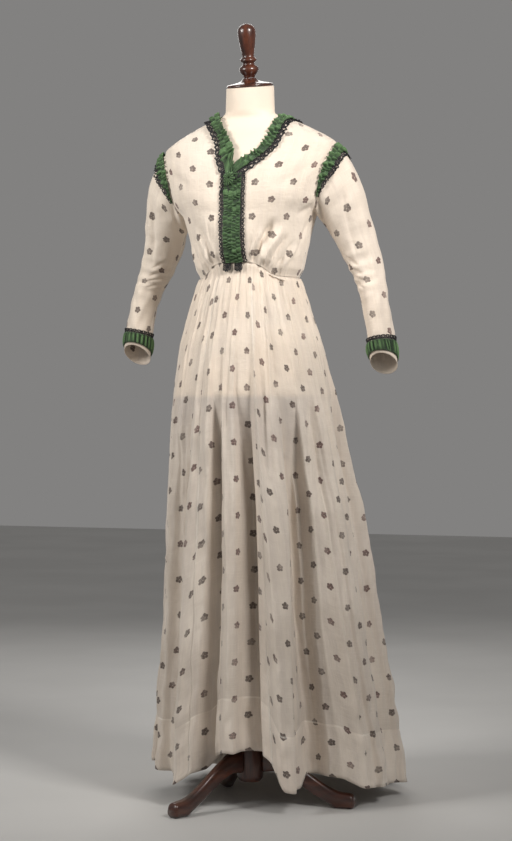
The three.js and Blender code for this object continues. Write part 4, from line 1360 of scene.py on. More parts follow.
@dataclass
class Bodice:
    """Two gathered fronts and a plain back."""

    shape: BodiceShape
    sleeve: SleeveShape
    columns: int = 104
    lower_rows: int = 52
    armhole_rows: int = 58
    shoulder_rows: int = 18
    edge_angle: float = 0.1
    scale: tuple[float, float] = (2.3, 1.0)
    front_cut: Cut = Cut((0.25, 0.35), "form_cover_torso", "stretched", 0.058)
    back_cut: Cut = Cut((0.43, 0.35), "form_cover_torso", "stretched", 0.115)
    neckline: dict[Side, Curve] = field(
        default_factory=lambda: {
            Side.LEFT: Curve(
                [(1301, 0.2), (1328, 12), (1350, 18), (1365, 23), (1385, 34), (1397, 52), (1402, 80)]
            ),
            Side.RIGHT: Curve(
                [(1301, 0.2), (1322, 4), (1348, 9), (1370, 17), (1387, 29), (1397, 46), (1402, 80)]
            ),
        }
    )
    front_creases: dict[Side, Creases] = field(
        default_factory=lambda: {
            Side.LEFT: (
                (20, 1100, 40, 1188, -7.0, 7), (30, 1098, 50, 1178, 5.0, 9),
                (21, 1100, 29, 1170, 2.2, 5), (37, 1094, 56, 1160, -2.4, 5),
                (46, 1088, 66, 1150, -2.0, 5), (52, 1086, 72, 1140, 1.8, 6),
                (16, 1104, 20, 1150, -1.8, 4), (30, 1250, 60, 1300, -1.4, 12),
                (72, 1120, 80, 1190, -1.6, 7), (60, 1195, 84, 1228, -1.5, 8),
            ),
            Side.RIGHT: (
                (24, 1098, 33, 1178, -3.2, 6), (29, 1098, 40, 1176, 2.2, 6),
                (19, 1102, 24, 1160, 1.8, 4), (35, 1094, 50, 1160, -2.6, 5),
                (43, 1090, 62, 1150, -2.0, 5), (49, 1086, 70, 1140, 1.6, 6),
                (34, 1262, 62, 1296, -1.6, 11), (70, 1124, 78, 1200, -1.8, 7),
                (58, 1200, 84, 1232, -1.6, 8),
            ),
        }
    )
    back_creases: Creases = (
        (160, 1088, 150, 1200, -1.8, 7), (200, 1088, 211, 1200, -1.8, 7),
        (175, 1086, 172, 1150, 1.4, 6), (186, 1086, 188, 1156, -1.4, 6),
        (120, 1240, 150, 1290, -1.3, 12), (240, 1240, 212, 1290, -1.3, 12),
        (110, 1100, 104, 1190, -1.4, 8), (250, 1100, 256, 1190, -1.4, 8),
    )

    @property
    def rows(self) -> int:
        """Rows from the waist to the neck."""
        return self.lower_rows + self.armhole_rows + self.shoulder_rows

    def row_z(self, share: Array, angle: Array) -> Array:
        """Height of a row: below the armhole, along it, or over the shoulder.

        Args:
            share: Share of the rows.
            angle: Angle round the body.

        Returns:
            The height.
        """
        row = share * self.rows
        base = LEVELS.waist(angle) + SEAM / 2
        lower = mix(base, LEVELS.underarm, np.clip(row / self.lower_rows, 0, 1))
        round_armhole = np.clip((row - self.lower_rows) / self.armhole_rows, 0, 1)
        armhole = self.sleeve.armhole_z(180 - 180 * round_armhole)
        over = np.clip((row - self.lower_rows - self.armhole_rows) / self.shoulder_rows, 0, 1)
        upper = mix(LEVELS.shoulder, LEVELS.neck_side, over)
        return np.where(row <= self.lower_rows, lower, np.where(over > 0, upper, armhole))

    def relief(self, angle: Array, z: Array, creases: Creases, seed: int) -> Array:
        """Fine gathers at the waist, listed creases, and the cloth's own unevenness.

        Args:
            angle: Angle round the body.
            z: Height.
            creases: Listed creases.
            seed: Choice of the gathers.

        Returns:
            Millimetres outward.
        """
        turn = np.abs(turn_of(angle))
        rise = z - LEVELS.waist(angle)
        front = smooth(turn, 12, 17) * (1 - smooth(turn, 60, 74))
        fine = gathers(turn / 2.3, seed) * 0.5 * (1 - smooth(rise, 8, 40)) * (0.25 + 0.75 * front)
        middle = gathers(turn / 5.2 - rise * 0.006, seed + 1) * front
        middle = middle * (1 - smooth(rise, 40, 110))
        laid = creased(angle, z, creases, self.scale) * CREASE_GAIN
        uneven = crumple(angle / 26, z / 62, seed + 2) * 0.7 * smooth(rise, 20, 90)
        held = smooth(rise, 0, 5) * (1 - smooth(z, 1375, 1400))
        return (fine + middle + laid + uneven) * held

    def cut(self, base: Array, angle: Array, z: Array) -> tuple[Array, Array]:
        """Places on the flat cloth, its grain upright at the angle 0, and distances to its edges.

        Args:
            base: Grid of points.
            angle: Angle from the grain line.
            z: Height.

        Returns:
            Both grids, in metres.
        """
        _, edge = flat_cloth(base[:, ::-1])
        radius = (self.shape.ovals["half"](z) + self.shape.ovals["front"](z)) / 2
        heights = np.linspace(LEVELS.waist_side - 5, LEVELS.neck_side + 5, 400)
        line = self.shape.at(45.0 + 0 * heights, heights)
        steps = np.linalg.norm(np.diff(line, axis=0), axis=1)
        up = np.interp(z, heights, np.concatenate([[0], np.cumsum(steps)]))
        return np.stack([radius * np.radians(angle), up], axis=-1) * MM, edge[:, ::-1]

    def front(self, room: Workroom, side: Side, material: Material) -> None:
        """One front, from the closing to the side and shoulder seams.

        Args:
            room: Where it is made.
            side: Which front.
            material: Its finish.
        """
        seed = 11 if side is Side.LEFT else 21
        neckline = self.neckline[side]

        def lay(u: Array, v: Array) -> Laid:
            """Lie of the front from its lower edge up.

            Args:
                u: Share across.
                v: Share up.

            Returns:
                The lie.
            """
            guess = self.row_z(v, 90 * u)
            first = np.where(guess <= LEVELS.neck_front, self.edge_angle, neckline(guess))
            last = np.minimum(self.sleeve.armhole_angle(guess, False), 90 - self.edge_angle)
            angle = mix(first, last, u)
            z = self.row_z(v, angle)
            base = self.shape.at(angle, z)
            out = self.shape.surface.normal(angle, z)
            edge_hold = smooth(u, 0, 0.04) * (1 - smooth(u, 0.94, 1))
            relief = self.relief(angle, z, self.front_creases[side], seed) * edge_hold
            flat, edge = self.cut(base, angle, z)
            return Laid((base + out * relief[..., None]) * side.mirror, flat, edge, out * side.mirror)

        name = f"bodice_front_{side.word}"
        piece = room.sheet(f"{name}_cloth", self.columns, self.rows, lay)
        room.cloth(piece, material, Slot.MUSLIN, name, self.front_cut)

    def back(self, room: Workroom, material: Material) -> None:
        """The back, in one piece between the side seams.

        Args:
            room: Where it is made.
            material: Its finish.
        """
        dip = LEVELS.neck_side - LEVELS.neck_back

        def lay(u: Array, v: Array) -> Laid:
            """Lie of the back from its lower edge up.

            Args:
                u: Share across.
                v: Share up.

            Returns:
                The lie.
            """
            row = self.row_z(v, 180.0 + 0 * u)
            first = np.maximum(self.sleeve.armhole_angle(row, True), 90 + self.edge_angle)
            angle = mix(first, 360 - first, u)
            z = row - dip * np.sin(np.pi * u) * smooth(row, LEVELS.shoulder, LEVELS.neck_side)
            base = self.shape.at(angle, z)
            out = self.shape.surface.normal(angle, z)
            edge_hold = smooth(u, 0, 0.03) * (1 - smooth(u, 0.97, 1))
            relief = self.relief(angle, z, self.back_creases, 31) * edge_hold
            flat, edge = self.cut(base, angle - 180, z)
            return Laid(base + out * relief[..., None], flat, edge, out)

        piece = room.sheet("bodice_back_cloth", self.columns + 30, self.rows, lay)
        room.cloth(piece, material, Slot.MUSLIN, "bodice_back", self.back_cut)


@dataclass
class Sleeve:
    """Sleeve of one arm, creased at the elbow."""

    shape: SleeveShape
    side: Side
    columns: int = 96
    rows: int = 190
    scale: tuple[float, float] = (0.75, 420.0)
    crease_gain: float = 1.6
    creases: Creases = (
        (60, 0.12, 95, 0.52, -2.2, 5), (48, 0.14, 70, 0.5, 1.6, 6),
        (150, 0.44, 95, 0.53, -2.0, 4), (160, 0.5, 90, 0.585, -2.2, 4),
        (165, 0.56, 92, 0.62, -1.8, 4), (155, 0.6, 100, 0.68, -1.4, 4),
        (20, 0.3, 38, 0.62, -1.3, 6), (300, 0.25, 270, 0.5, -1.6, 7),
        (230, 0.45, 275, 0.57, -1.6, 5), (225, 0.52, 280, 0.63, -1.5, 5),
        (120, 0.05, 150, 0.22, -1.8, 6), (140, 0.04, 165, 0.2, 1.6, 6),
        (240, 0.06, 215, 0.2, -1.6, 6), (330, 0.2, 345, 0.46, -1.2, 7),
        (60, 0.7, 95, 0.86, -1.0, 5), (255, 0.72, 235, 0.88, -1.0, 5),
    )

    def build(self, room: Workroom, material: Material) -> None:
        """Make the sleeve from the armhole to the cuff.

        Args:
            room: Where it is made.
            material: Its finish.
        """
        seed = 41 if self.side is Side.LEFT else 47

        def lay(u: Array, v: Array) -> Laid:
            """Lie of the sleeve from its armhole down, its seam underneath.

            Args:
                u: Share round.
                v: Share down.

            Returns:
                The lie.
            """
            turn = 180 + 360 * u
            along = np.maximum(v, 0.0025)
            base = self.shape.at(turn, along)
            out = self.shape.surface.normal(turn, along)
            held = smooth(v, 0, 0.05) * (1 - smooth(v, 0.9, 0.97))
            relief = creased(np.mod(turn, 360), along, self.creases, self.scale) * self.crease_gain
            relief = relief + crumple(u * 5, v * 7, seed) * 1.3
            relief = relief + gathers(u * 34, seed) * 0.5 * (1 - smooth(v, 0.02, 0.1))
            seam = np.sin(np.pi * u) > 0.02
            points = base + out * (relief * held * seam)[..., None]
            flat, edge = flat_cloth(base, 0.3)
            return Laid(self.shape.worn(self.side, points, v), flat, edge, out * self.side.mirror)

        name = f"sleeve_{self.side.word}"
        piece = room.sheet(f"{name}_cloth", self.columns, self.rows, lay, around=True)
        cut = Cut((0.30, 0.46), f"bodice_front_{self.side.word}_cloth", "stretched", 0.105)
        room.cloth(piece, material, Slot.MUSLIN, name, cut)


# --- the skirt


@dataclass(frozen=True)
class Breadth:
    """One width of the skirt between two seams, its flat size in metres and its area."""

    name: str
    start: float
    end: float
    flat: tuple[float, float]
    area: float


@dataclass(frozen=True)
class Recess:
    """Hollow between two folds: the fall it starts at, its edges there and at the hem, its depth.

    The side is how wide each of its steep walls is, and the scale is millimetres a degree.
    """

    start: float
    left: tuple[float, float]
    right: tuple[float, float]
    depth: float
    side: float = 4.0
    end: float = 1030.0
    easing: float = 220.0
    scale: float = 3.6

    def relief(self, angle: Array, fall: Array) -> Array:
        """How far the cloth sinks.

        Args:
            angle: Angle round the skirt.
            fall: Distance below the waist.

        Returns:
            Millimetres, negative inward.
        """
        share = np.clip((fall - self.start) / (self.end - self.start), 0, 1.1)
        from_left = (angle - mix(*self.left, share)) * self.scale
        from_right = (mix(*self.right, share) - angle) * self.scale
        wall = self.side / 2
        inside = smooth(from_left, -wall, wall) * smooth(from_right, -wall, wall)
        growth = (0.6 + 0.8 * share) * smooth(fall, self.start, self.start + self.easing)
        return -self.depth * inside * growth


@dataclass
class Skirt:
    """Four breadths gathered to the waist, with a deep facing inside the hem."""

    shape: SkirtShape
    columns_a_degree: float = 1.9
    rows: int = 128
    hang: float = 0.26
    deepest: float = -2.6
    ease: float = 2.0
    side_seam: float = -108
    scale: tuple[float, float] = (3.3, 1.0)
    breadths: tuple[Breadth, ...] = (
        Breadth("front", -20, 20, (0.27, 1.0), 0.215),
        Breadth("side_left", 20, 108, (0.48, 1.06), 0.40),
        Breadth("back", 108, 252, (0.76, 1.08), 0.66),
        Breadth("side_right", -108, -20, (0.46, 1.06), 0.38),
    )
    recesses: tuple[Recess, ...] = (
        Recess(110, (7.5, 3.5), (16, 15), 25), Recess(130, (40, 30.5), (50, 50), 29, 5),
        Recess(150, (-8.5, -18.5), (-5.5, -10.5), 27, 4), Recess(260, (-62, -66), (-53, -54), 16, 7),
        Recess(260, (-42, -49), (-36, -41), 11, 6), Recess(200, (60, 66), (64, 74), 9, 7),
        Recess(160, (86, 85), (94, 98), 10, 7), Recess(160, (115, 111), (122, 125), 12, 7),
        Recess(160, (142, 139), (149, 153), 13, 7), Recess(160, (170, 171), (177, 182), 12, 7),
        Recess(160, (200, 198), (206, 211), 13, 7), Recess(160, (226, 223), (232, 236), 12, 7),
        Recess(160, (-96, -100), (-88, -88), 10, 8),
    )
    creases: Creases = (
        (-66, 566, -40, 578, 1.6, 3), (-9, 572, 0, 560, 1.6, 3),
        (33, 8, 37, 300, -3.4, 3.4), (28, 8, 27, 240, -2.2, 3.0),
        (42, 8, 47, 330, 2.6, 3.4), (-24, 8, -28, 380, -2.6, 4),
        (-7, 130, -8, 960, -7, 7), (-12, 60, -14, 700, 3, 9),
        (12, 60, 12, 900, -8, 14), (5, 100, 3, 800, 4, 9),
        (19, 40, 21, 700, 4, 8), (27, 30, 24, 420, -4, 7),
        (38, 40, 43, 900, -8, 15), (33, 20, 31, 560, 3, 8),
        (50, 40, 56, 620, 5, 11), (62, 50, 60, 860, -6, 12),
        (75, 60, 79, 820, -5, 10), (92, 60, 92, 900, -4, 12),
        (-28, 40, -36, 920, -6, 12), (-19, 40, -22, 640, -4, 8),
        (-42, 60, -50, 900, 4, 14), (-58, 60, -66, 860, -5, 12),
        (-78, 60, -82, 880, -6, 12), (-96, 60, -98, 860, -5, 12),
        (108, 40, 112, 860, -5, 13), (126, 40, 124, 640, 4, 12),
        (140, 40, 144, 900, -6, 14), (158, 40, 156, 700, -5, 12),
        (172, 40, 178, 900, -6, 14), (190, 40, 188, 640, 4, 12),
        (204, 40, 203, 880, -6, 14), (222, 40, 226, 900, -5, 13),
        (240, 40, 244, 760, 4, 12), (251, 40, 256, 860, -5, 13),
    )

    def detail(self, angle: Array, fall: Array) -> Array:
        """What the cloth adds to its large folds: fine gathers, listed creases, crumple.

        Args:
            angle: Angle round the body.
            fall: Distance below the waist.

        Returns:
            Millimetres outward.
        """
        fine = gathers(angle / 3.1, 61, 0.5) * (1 - smooth(fall, 10, 90))
        second = gathers(angle / 6.4 + fall * 0.0012, 62, 0.5) * 1.7
        second = second * smooth(fall, 10, 60) * (1 - smooth(fall, 160, 520))
        third = gathers(angle / 11.5 - fall * 0.0006, 63, 0.5) * 4.2
        third = third * smooth(fall, 90, 260) * (1 - smooth(fall, 520, 1150))
        laid = creased(angle, fall, self.creases, self.scale) * CREASE_GAIN
        laid = laid + sum(recess.relief(angle, fall) for recess in self.recesses)
        low = smooth(fall, 640, 980)
        rumple = crumple(angle / 16, fall / 170, 64) * (2.2 + 1.6 * low) * smooth(fall, 60, 260)
        rumple = rumple + crumple(angle / 9 + fall / 150, fall / 60, 66) * 2.3 * low
        ripple = crumple(angle / 6, fall / 40, 65) * 0.8
        seamed = smooth(angle - self.side_seam, 0, 6) * smooth(self.side_seam + 360 - angle, 0, 6)
        return (fine + second + third + laid + rumple + ripple) * smooth(fall, 0, 6) * seamed

    def hem_line(self, above: Array) -> Array:
        """Relief of the facing and its drawn-in stitches, at a height above the hem's edge."""
        stitches = np.exp(-(((above - FACING) / 3) ** 2))
        return -0.8 * stitches + 0.5 * (1 - smooth(above, FACING - 4, FACING))

    def build(self, room: Workroom, material: Material) -> None:
        """Make the four breadths.

        Args:
            room: Where it is made.
            material: Its finish.
        """
        surface = Surface(self.shape.at)
        for breadth in self.breadths:

            def lay(u: Array, v: Array, breadth: Breadth = breadth) -> Laid:
                """Lie of a breadth from the waist down.

                Args:
                    u: Share across.
                    v: Share down.
                    breadth: Its place.

                Returns:
                    The lie.
                """
                gap = np.degrees(SEAM / 2 * SKIRT_SEAM / mix(90, 260, v))
                angle = mix(breadth.start + gap, breadth.end - gap, u)
                waist = LEVELS.waist(angle) - SEAM / 2
                hem = self.shape.hem(angle)
                z = mix(waist, hem, v)
                fall = waist - z
                wrapped = np.mod(angle - self.side_seam, 360) + self.side_seam
                detail = self.detail(wrapped, fall) + self.hem_line(waist - hem - fall)
                swell = self.shape.swell(angle, z) + detail
                below_torso = np.maximum(0, LEVELS.torso_bottom + 8 - z)
                deepest = self.deepest - self.hang * below_torso
                swell = deepest + np.logaddexp(0, (swell - deepest) / self.ease) * self.ease
                points = self.shape.envelope(angle, z, swell)
                flat, edge = flat_cloth(self.shape.at(angle, z), 0.35, points)
                return Laid(points, flat, edge, surface.normal(angle, z))

            name = f"skirt_{breadth.name}"
            columns = round((breadth.end - breadth.start) * self.columns_a_degree)
            piece = room.sheet(f"{name}_cloth", columns, self.rows, lay)
            cut = Cut(breadth.flat, "form_cover_torso", area=breadth.area)
            room.cloth(piece, material, Slot.MUSLIN, name, cut)


# --- silk and lace


def level(along: Array) -> Array:
    """Nothing at every length along a line."""
    return 0.0 * along


@dataclass(frozen=True)
class Strip:
    """A trimming strip beside a line: where it runs and how full it is, in millimetres."""

    start: float
    end: float
    pleat: float
    height: float
    trim: float = 0.0
    fullness: float = 1.45
    seed: int = 1
    taper: float = 0.0
    ragged: float = 2.2
    drawn: AlongLine = level
    drawn_outside: AlongLine = level

    @property
    def width(self) -> float:
        """Distance between its edges."""
        return abs(self.end - self.start)

    def narrowed(self, share: Array) -> Array:
        """Part of its width that is left towards tapered ends, at a share of its length."""
        return 1 - self.taper * (1 - smooth(np.minimum(share, 1 - share), 0, 0.3))


@dataclass(frozen=True)
class Line:
    """Line that trimming lies beside, the side of the wearer, and the slant of its ends."""

    path: Path
    mirror: Array
    mitre: AlongLine = level


class Trimmer:
    """Lays gathered silk and lace beside lines on the garment."""

    def __init__(self, room: Workroom, silk: Material) -> None:
        """Keep the workroom and the silk's finish."""
        self.room = room
        self.silk = silk

    def ruche(self, node: str, line: Line, strip: Strip) -> None:
        """Lay a pleated silk strip, puffed in two rows either side of its stitching.

        Args:
            node: Solid whose place it takes.
            line: Line that it runs beside.
            strip: Its place and fullness.
        """
        length = line.path.total - 2 * strip.trim
        pleats = max(4, round(length / strip.pleat))

        def lay(u: Array, v: Array) -> Laid:
            """Lie of the strip from one end to the other.

            Args:
                u: Share along.
                v: Share across.

            Returns:
                The lie.
            """
            along = strip.trim + length * u
            phase = u * pleats
            near = gathers(phase, strip.seed, 0.6)
            far = gathers(phase + 0.45, strip.seed, 0.6)
            wave = mix(near, far, smooth(v, 0.42, 0.58))
            puff = np.sin(np.pi * v) ** 0.5 * (1 - 0.45 * np.exp(-(((v - 0.5) / 0.07) ** 2)))
            puff = puff * (0.85 + 0.15 * crumple(phase * 0.35, v * 2, strip.seed + 3))
            frill = (v - 0.5) * 2 * np.abs(v - 0.5) * 2
            edge_lift = 0.45 * strip.height * np.abs(frill) * (1 + wave) / 2
            lift = LIE + WALL[Slot.SILK] + strip.height * puff * (0.42 + 0.58 * wave) + edge_lift + 0.4
            drawn = mix(strip.drawn(along), strip.drawn_outside(along), v)
            across = mix(strip.start, strip.end * strip.narrowed(u), v) - drawn
            across = across + np.sign(strip.end) * strip.ragged * frill * (wave * 0.9 - 0.1)
            lift = lift + 0.3 * drawn
            slip = 1.6 * np.sin(phase * math.tau * 0.5 + v * 5.0) * np.sin(np.pi * v)
            keep = smooth(u, 0, 0.02) * (1 - smooth(u, 0.98, 1))
            lift = np.maximum(lift, LIE + 0.5)
            points, out = line.path.beside(along + slip * keep, across, lift, line.mitre(along))
            flat = np.stack([along * 1.9, v * strip.width * 1.2], axis=-1) * MM
            shade = np.stack([(wave * puff + 1) / 2, v], axis=-1)
            return Laid(points * line.mirror, flat, shade, out * line.mirror)

        piece = self.room.sheet(f"{node}_silk", pleats * 10, 16, lay)
        cut = Cut((length * MM * strip.fullness, strip.width * MM * 1.1), "bodice_back_cloth")
        self.room.cloth(piece, self.silk, Slot.SILK, node, cut)

    def lace(self, node: str, line: Line, strip: Strip) -> None:
        """Lay a narrow lace edging, eased on with a slight ripple.

        Args:
            node: Solid whose place it takes.
            line: Line that it runs beside.
            strip: Its place, scallop length and ripple.
        """
        name = f"{node}_edging"
        length = line.path.total - 2 * strip.trim
        scallops = max(3, round(length / strip.pleat))

        def lay(u: Array, v: Array) -> Laid:
            """Lie of the edging from its heading outward.

            Args:
                u: Share along.
                v: Share across.

            Returns:
                The lie.
            """
            along = strip.trim + length * u
            ripple = strip.height * v * gathers(u * scallops * 1.4, strip.seed, 0.6)
            lift = LIE + WALL[Slot.LACE] + 0.5 + 0.5 * strip.height * v + 0.5 * ripple
            narrow = strip.narrowed(u)
            wander = gathers(u * scallops * 0.7, strip.seed + 5, 0.8)
            wander = strip.ragged * v * np.sign(strip.end) * wander
            drawn = strip.drawn_outside(along)
            across = mix(strip.start * narrow, strip.end * narrow, v) + wander - drawn
            lift = lift + 0.15 * drawn
            points, out = line.path.beside(along, across, lift, line.mitre(along))
            run = np.linalg.norm(np.diff(points[:, points.shape[1] // 2], axis=0), axis=1)
            run = np.concatenate([[0], np.cumsum(run)])
            run = run * (scallops * strip.pleat / run[-1])
            flat = np.stack([run[:, None] + 0 * v, v * strip.width], axis=-1) * MM
            return Laid(points * line.mirror, flat, flat, out * line.mirror)

        finish = BobbinLace(f"black lace {name}", strip.width * MM, strip.pleat * MM).make()
        piece = self.room.sheet(name, scallops * 12, 8, lay)
        cut = Cut((length * MM * 1.15, max(strip.width * MM, NARROWEST)), "bodice_back_cloth")
        self.room.cloth(piece, finish, Slot.LACE, node, cut)


@dataclass
class NeckTrim:
    """Silk ruche and lace round the neckline, meeting in the V, with the knot over them."""

    shape: BodiceShape
    bodice: Bodice
    ruche: Strip = Strip(-1.0, 21.5, 11.5, 8.0, seed=71, ragged=3.4)
    lace: Strip = Strip(19.5, 35.5, 9.5, 4.2, trim=3, seed=72, ragged=1.6)
    mitre_slant: float = 1.9
    knot_angle: float = -1.5
    knot_z: float = 1270

    def path(self) -> Path:
        """Neckline from the V, up the wearer's right, round the back and down the left.

        Returns:
            The line.
        """
        right, left = (
            [(float(angle), float(z)) for z, angle in zip(curve.at, curve.value)]
            for curve in (self.bodice.neckline[Side.RIGHT], self.bodice.neckline[Side.LEFT])
        )
        behind = []
        for angle in (-100, -130, -180, -230, -260):
            away = min(1.0, abs(angle + 180) / 80) ** 1.5
            behind.append((angle, mix(LEVELS.neck_back, LEVELS.neck_side, away)))
        up_right = [(-angle, z) for angle, z in right]
        down_left = [(angle - 360, z) for angle, z in left[::-1]]
        return Path(self.shape.surface, up_right + behind + down_left)

    def build(self, trimmer: Trimmer) -> None:
        """Lay both strips and the knot.

        Args:
            trimmer: Who lays them.
        """
        path = self.path()

        def mitre(along: Array) -> Array:
            """Turn the ends upright, so that both sides meet in one line.

            Args:
                along: Length along the neckline.

            Returns:
                How much the way across slants.
            """
            from_end = np.minimum(along, path.total - along)
            sign = np.where(along < path.total / 2, -1, 1)
            return sign * self.mitre_slant * (1 - smooth(from_end, 0, 30))

        def drawn(along: Array) -> Array:
            """How far the wearer's right side is drawn in over the edge, towards the neck."""
            up_side = 1 - smooth(along, 0.24 * path.total, 0.42 * path.total)
            return (11 + 3 * smooth(along, 20, 90)) * up_side

        def eased(along: Array) -> Array:
            """The same at the outer edge, which meets the plastron's lace at the V."""
            return drawn(along) * smooth(along, 8, 75)

        line = Line(path, Side.LEFT.mirror, mitre)
        trimmer.ruche("neck_ruche", line, replace(self.ruche, drawn=drawn, drawn_outside=eased))
        trimmer.lace("neck_lace", line, replace(self.lace, drawn_outside=eased))
        self.knot(trimmer)

    def knot(self, trimmer: Trimmer) -> None:
        """Small rosette of the strip's own silk over the crossing.

        Args:
            trimmer: Who lays it.
        """
        angle, z = np.array(self.knot_angle), np.array(self.knot_z)
        centre = self.shape.at(angle, z)
        normal = self.shape.surface.normal(angle, z)
        right = np.array([1.0, 0, 0])
        up = unit(np.cross(normal, right)) * -1
        up = up if up[2] > 0 else -up

        def lay(u: Array, v: Array) -> Laid:
            """Lie of the rosette from its rim to its heart.

            Args:
                u: Share round.
                v: Share inward.

            Returns:
                The lie.
            """
            turn = math.tau * u
            radius = mix(12.0, 0.6, v) * (1 + 0.12 * np.cos(7 * turn) * (1 - v))
            pleated = np.cos(13 * turn + 3 * v)
            pleat = 0.9 * pleated * np.sin(np.pi * np.clip(v * 1.1, 0, 1))
            dome = 4.6 * np.sin(np.pi * np.clip(v * 0.8 + 0.05, 0, 1))
            lift = 8.2 + dome - 1.5 * smooth(v, 0.8, 1) + pleat
            offset = radius * np.cos(turn)
            high = radius * 1.15 * np.sin(turn)
            points = centre + right * offset[..., None] + up * high[..., None]
            points = points + normal * lift[..., None]
            flat = np.stack([u * 0.06, v * 0.012], axis=-1)
            shade = np.stack([0.45 + 0.4 * pleated - 0.3 * smooth(v, 0.75, 1), v], axis=-1)
            return Laid(points, flat, shade, np.broadcast_to(normal, points.shape))

        piece = trimmer.room.sheet("bow_knot_silk", 84, 14, lay, around=True)
        cut = Cut((0.055, 0.014), "neck_ruche_silk")
        trimmer.room.cloth(piece, trimmer.silk, Slot.SILK, "bow_knot", cut)


@dataclass
class Plastron:
    """Two silk strips down the closing, with lace outside and two lace tabs below."""

    shape: BodiceShape
    skirt: SkirtShape
    x: float = 3
    top: float = 1281
    bottom: float = 1102.5
    left: float = 17.5
    right: float = 20
    lace: float = 10
    tabs: tuple[tuple[str, float, float], ...] = (("right", -14, 16), ("left", 10, 15))

    def path(self) -> Path:
        """Line down the front between the two strips.

        Returns:
            The line.
        """
        heights = [mix(self.top, self.bottom, share) for share in (0, 0.25, 0.5, 0.75, 1)]
        half = self.shape.ovals["half"]
        knots = [(math.degrees(math.asin(self.x / float(half(z)))), z) for z in heights]
        return Path(self.shape.surface, knots)

    def build(self, trimmer: Trimmer) -> None:
        """Lay the strips, their lace and the tabs.

        Args:
            trimmer: Who lays them.
        """
        line = Line(self.path(), Side.LEFT.mirror)
        for side, width in ((Side.LEFT, self.left), (Side.RIGHT, self.right)):
            sign = side.value
            strip = Strip(-0.9 * sign, width * sign, 7.5, 4.2, fullness=1.25, seed=80 + sign)
            trimmer.ruche(f"plastron_strip_{side.word}", line, replace(strip, ragged=1.4))
            inner, outer = (width - 0.6) * sign, (width + self.lace) * sign
            edging = Strip(inner, outer, 8.0, 2.6, seed=84 + sign, ragged=1.3)
            trimmer.lace(f"plastron_lace_{side.word}", line, edging)
        for word, x, width in self.tabs:
            self.tab(trimmer, word, x, width)

    def tab(self, trimmer: Trimmer, word: str, x: float, width: float) -> None:
        """Gathered lace end below a strip.

        Args:
            trimmer: Who lays it.
            word: Side in its name.
            x: Its middle.
            width: Its width.
        """
        top = LEVELS.waist_side + LEVELS.waist_rise - 0.6

        def lay(u: Array, v: Array) -> Laid:
            """Lie of the tab from the waist seam down.

            Args:
                u: Share across.
                v: Share down.

            Returns:
                The lie.
            """
            z = top - 20 * v * (1 - 0.3 * (2 * u - 1) ** 2)
            spread = mix(1.0, 1.18, v)
            place = x + width * spread * (u - 0.5)
            angle = np.degrees(np.arcsin(place / self.skirt.ovals["half"](z)))
            swell = TAB_LIFT + 1.9 * gathers(u * 3.6, 91, 0.5) + 1.5 * v
            points = self.skirt.envelope(angle, z, swell + WALL[Slot.LACE])
            flat = np.stack([u * 0.030, v * 0.020], axis=-1)
            return Laid(points, flat, flat, np.broadcast_to(np.array([0, -1.0, 0]), points.shape))

        piece = trimmer.room.sheet(f"lace_tab_{word}_end", 56, 14, lay)
        finish = BobbinLace(f"black lace tab {word}", 0.020, 0.0075, mesh=0.0026, eyelet=-0.1).make()
        cut = Cut((0.025, 0.020), "skirt_front_cloth")
        trimmer.room.cloth(piece, finish, Slot.LACE, f"lace_tab_{word}", cut)


@dataclass
class ArmholeTrim:
    """Silk ruche and lace over the seam of one armhole, open underneath."""

    shape: SleeveShape
    side: Side
    end: float = 124
    start: float = 0.02
    ruche: Strip = Strip(0.2, 21, 11.0, 8.5, seed=101, taper=0.6, ragged=3.2)
    lace: Strip = Strip(18.0, 33, 9.0, 4.6, seed=103, taper=0.6, ragged=1.8)

    def build(self, trimmer: Trimmer) -> None:
        """Lay both strips.

        Args:
            trimmer: Who lays them.
        """
        knots = [(mix(-self.end, self.end, k / 12), self.start) for k in range(13)]
        line = Line(Path(self.shape.surface, knots), self.side.mirror)
        trimmer.ruche(f"armhole_ruche_{self.side.word}", line, self.ruche)
        trimmer.lace(f"armhole_lace_{self.side.word}", line, self.lace)


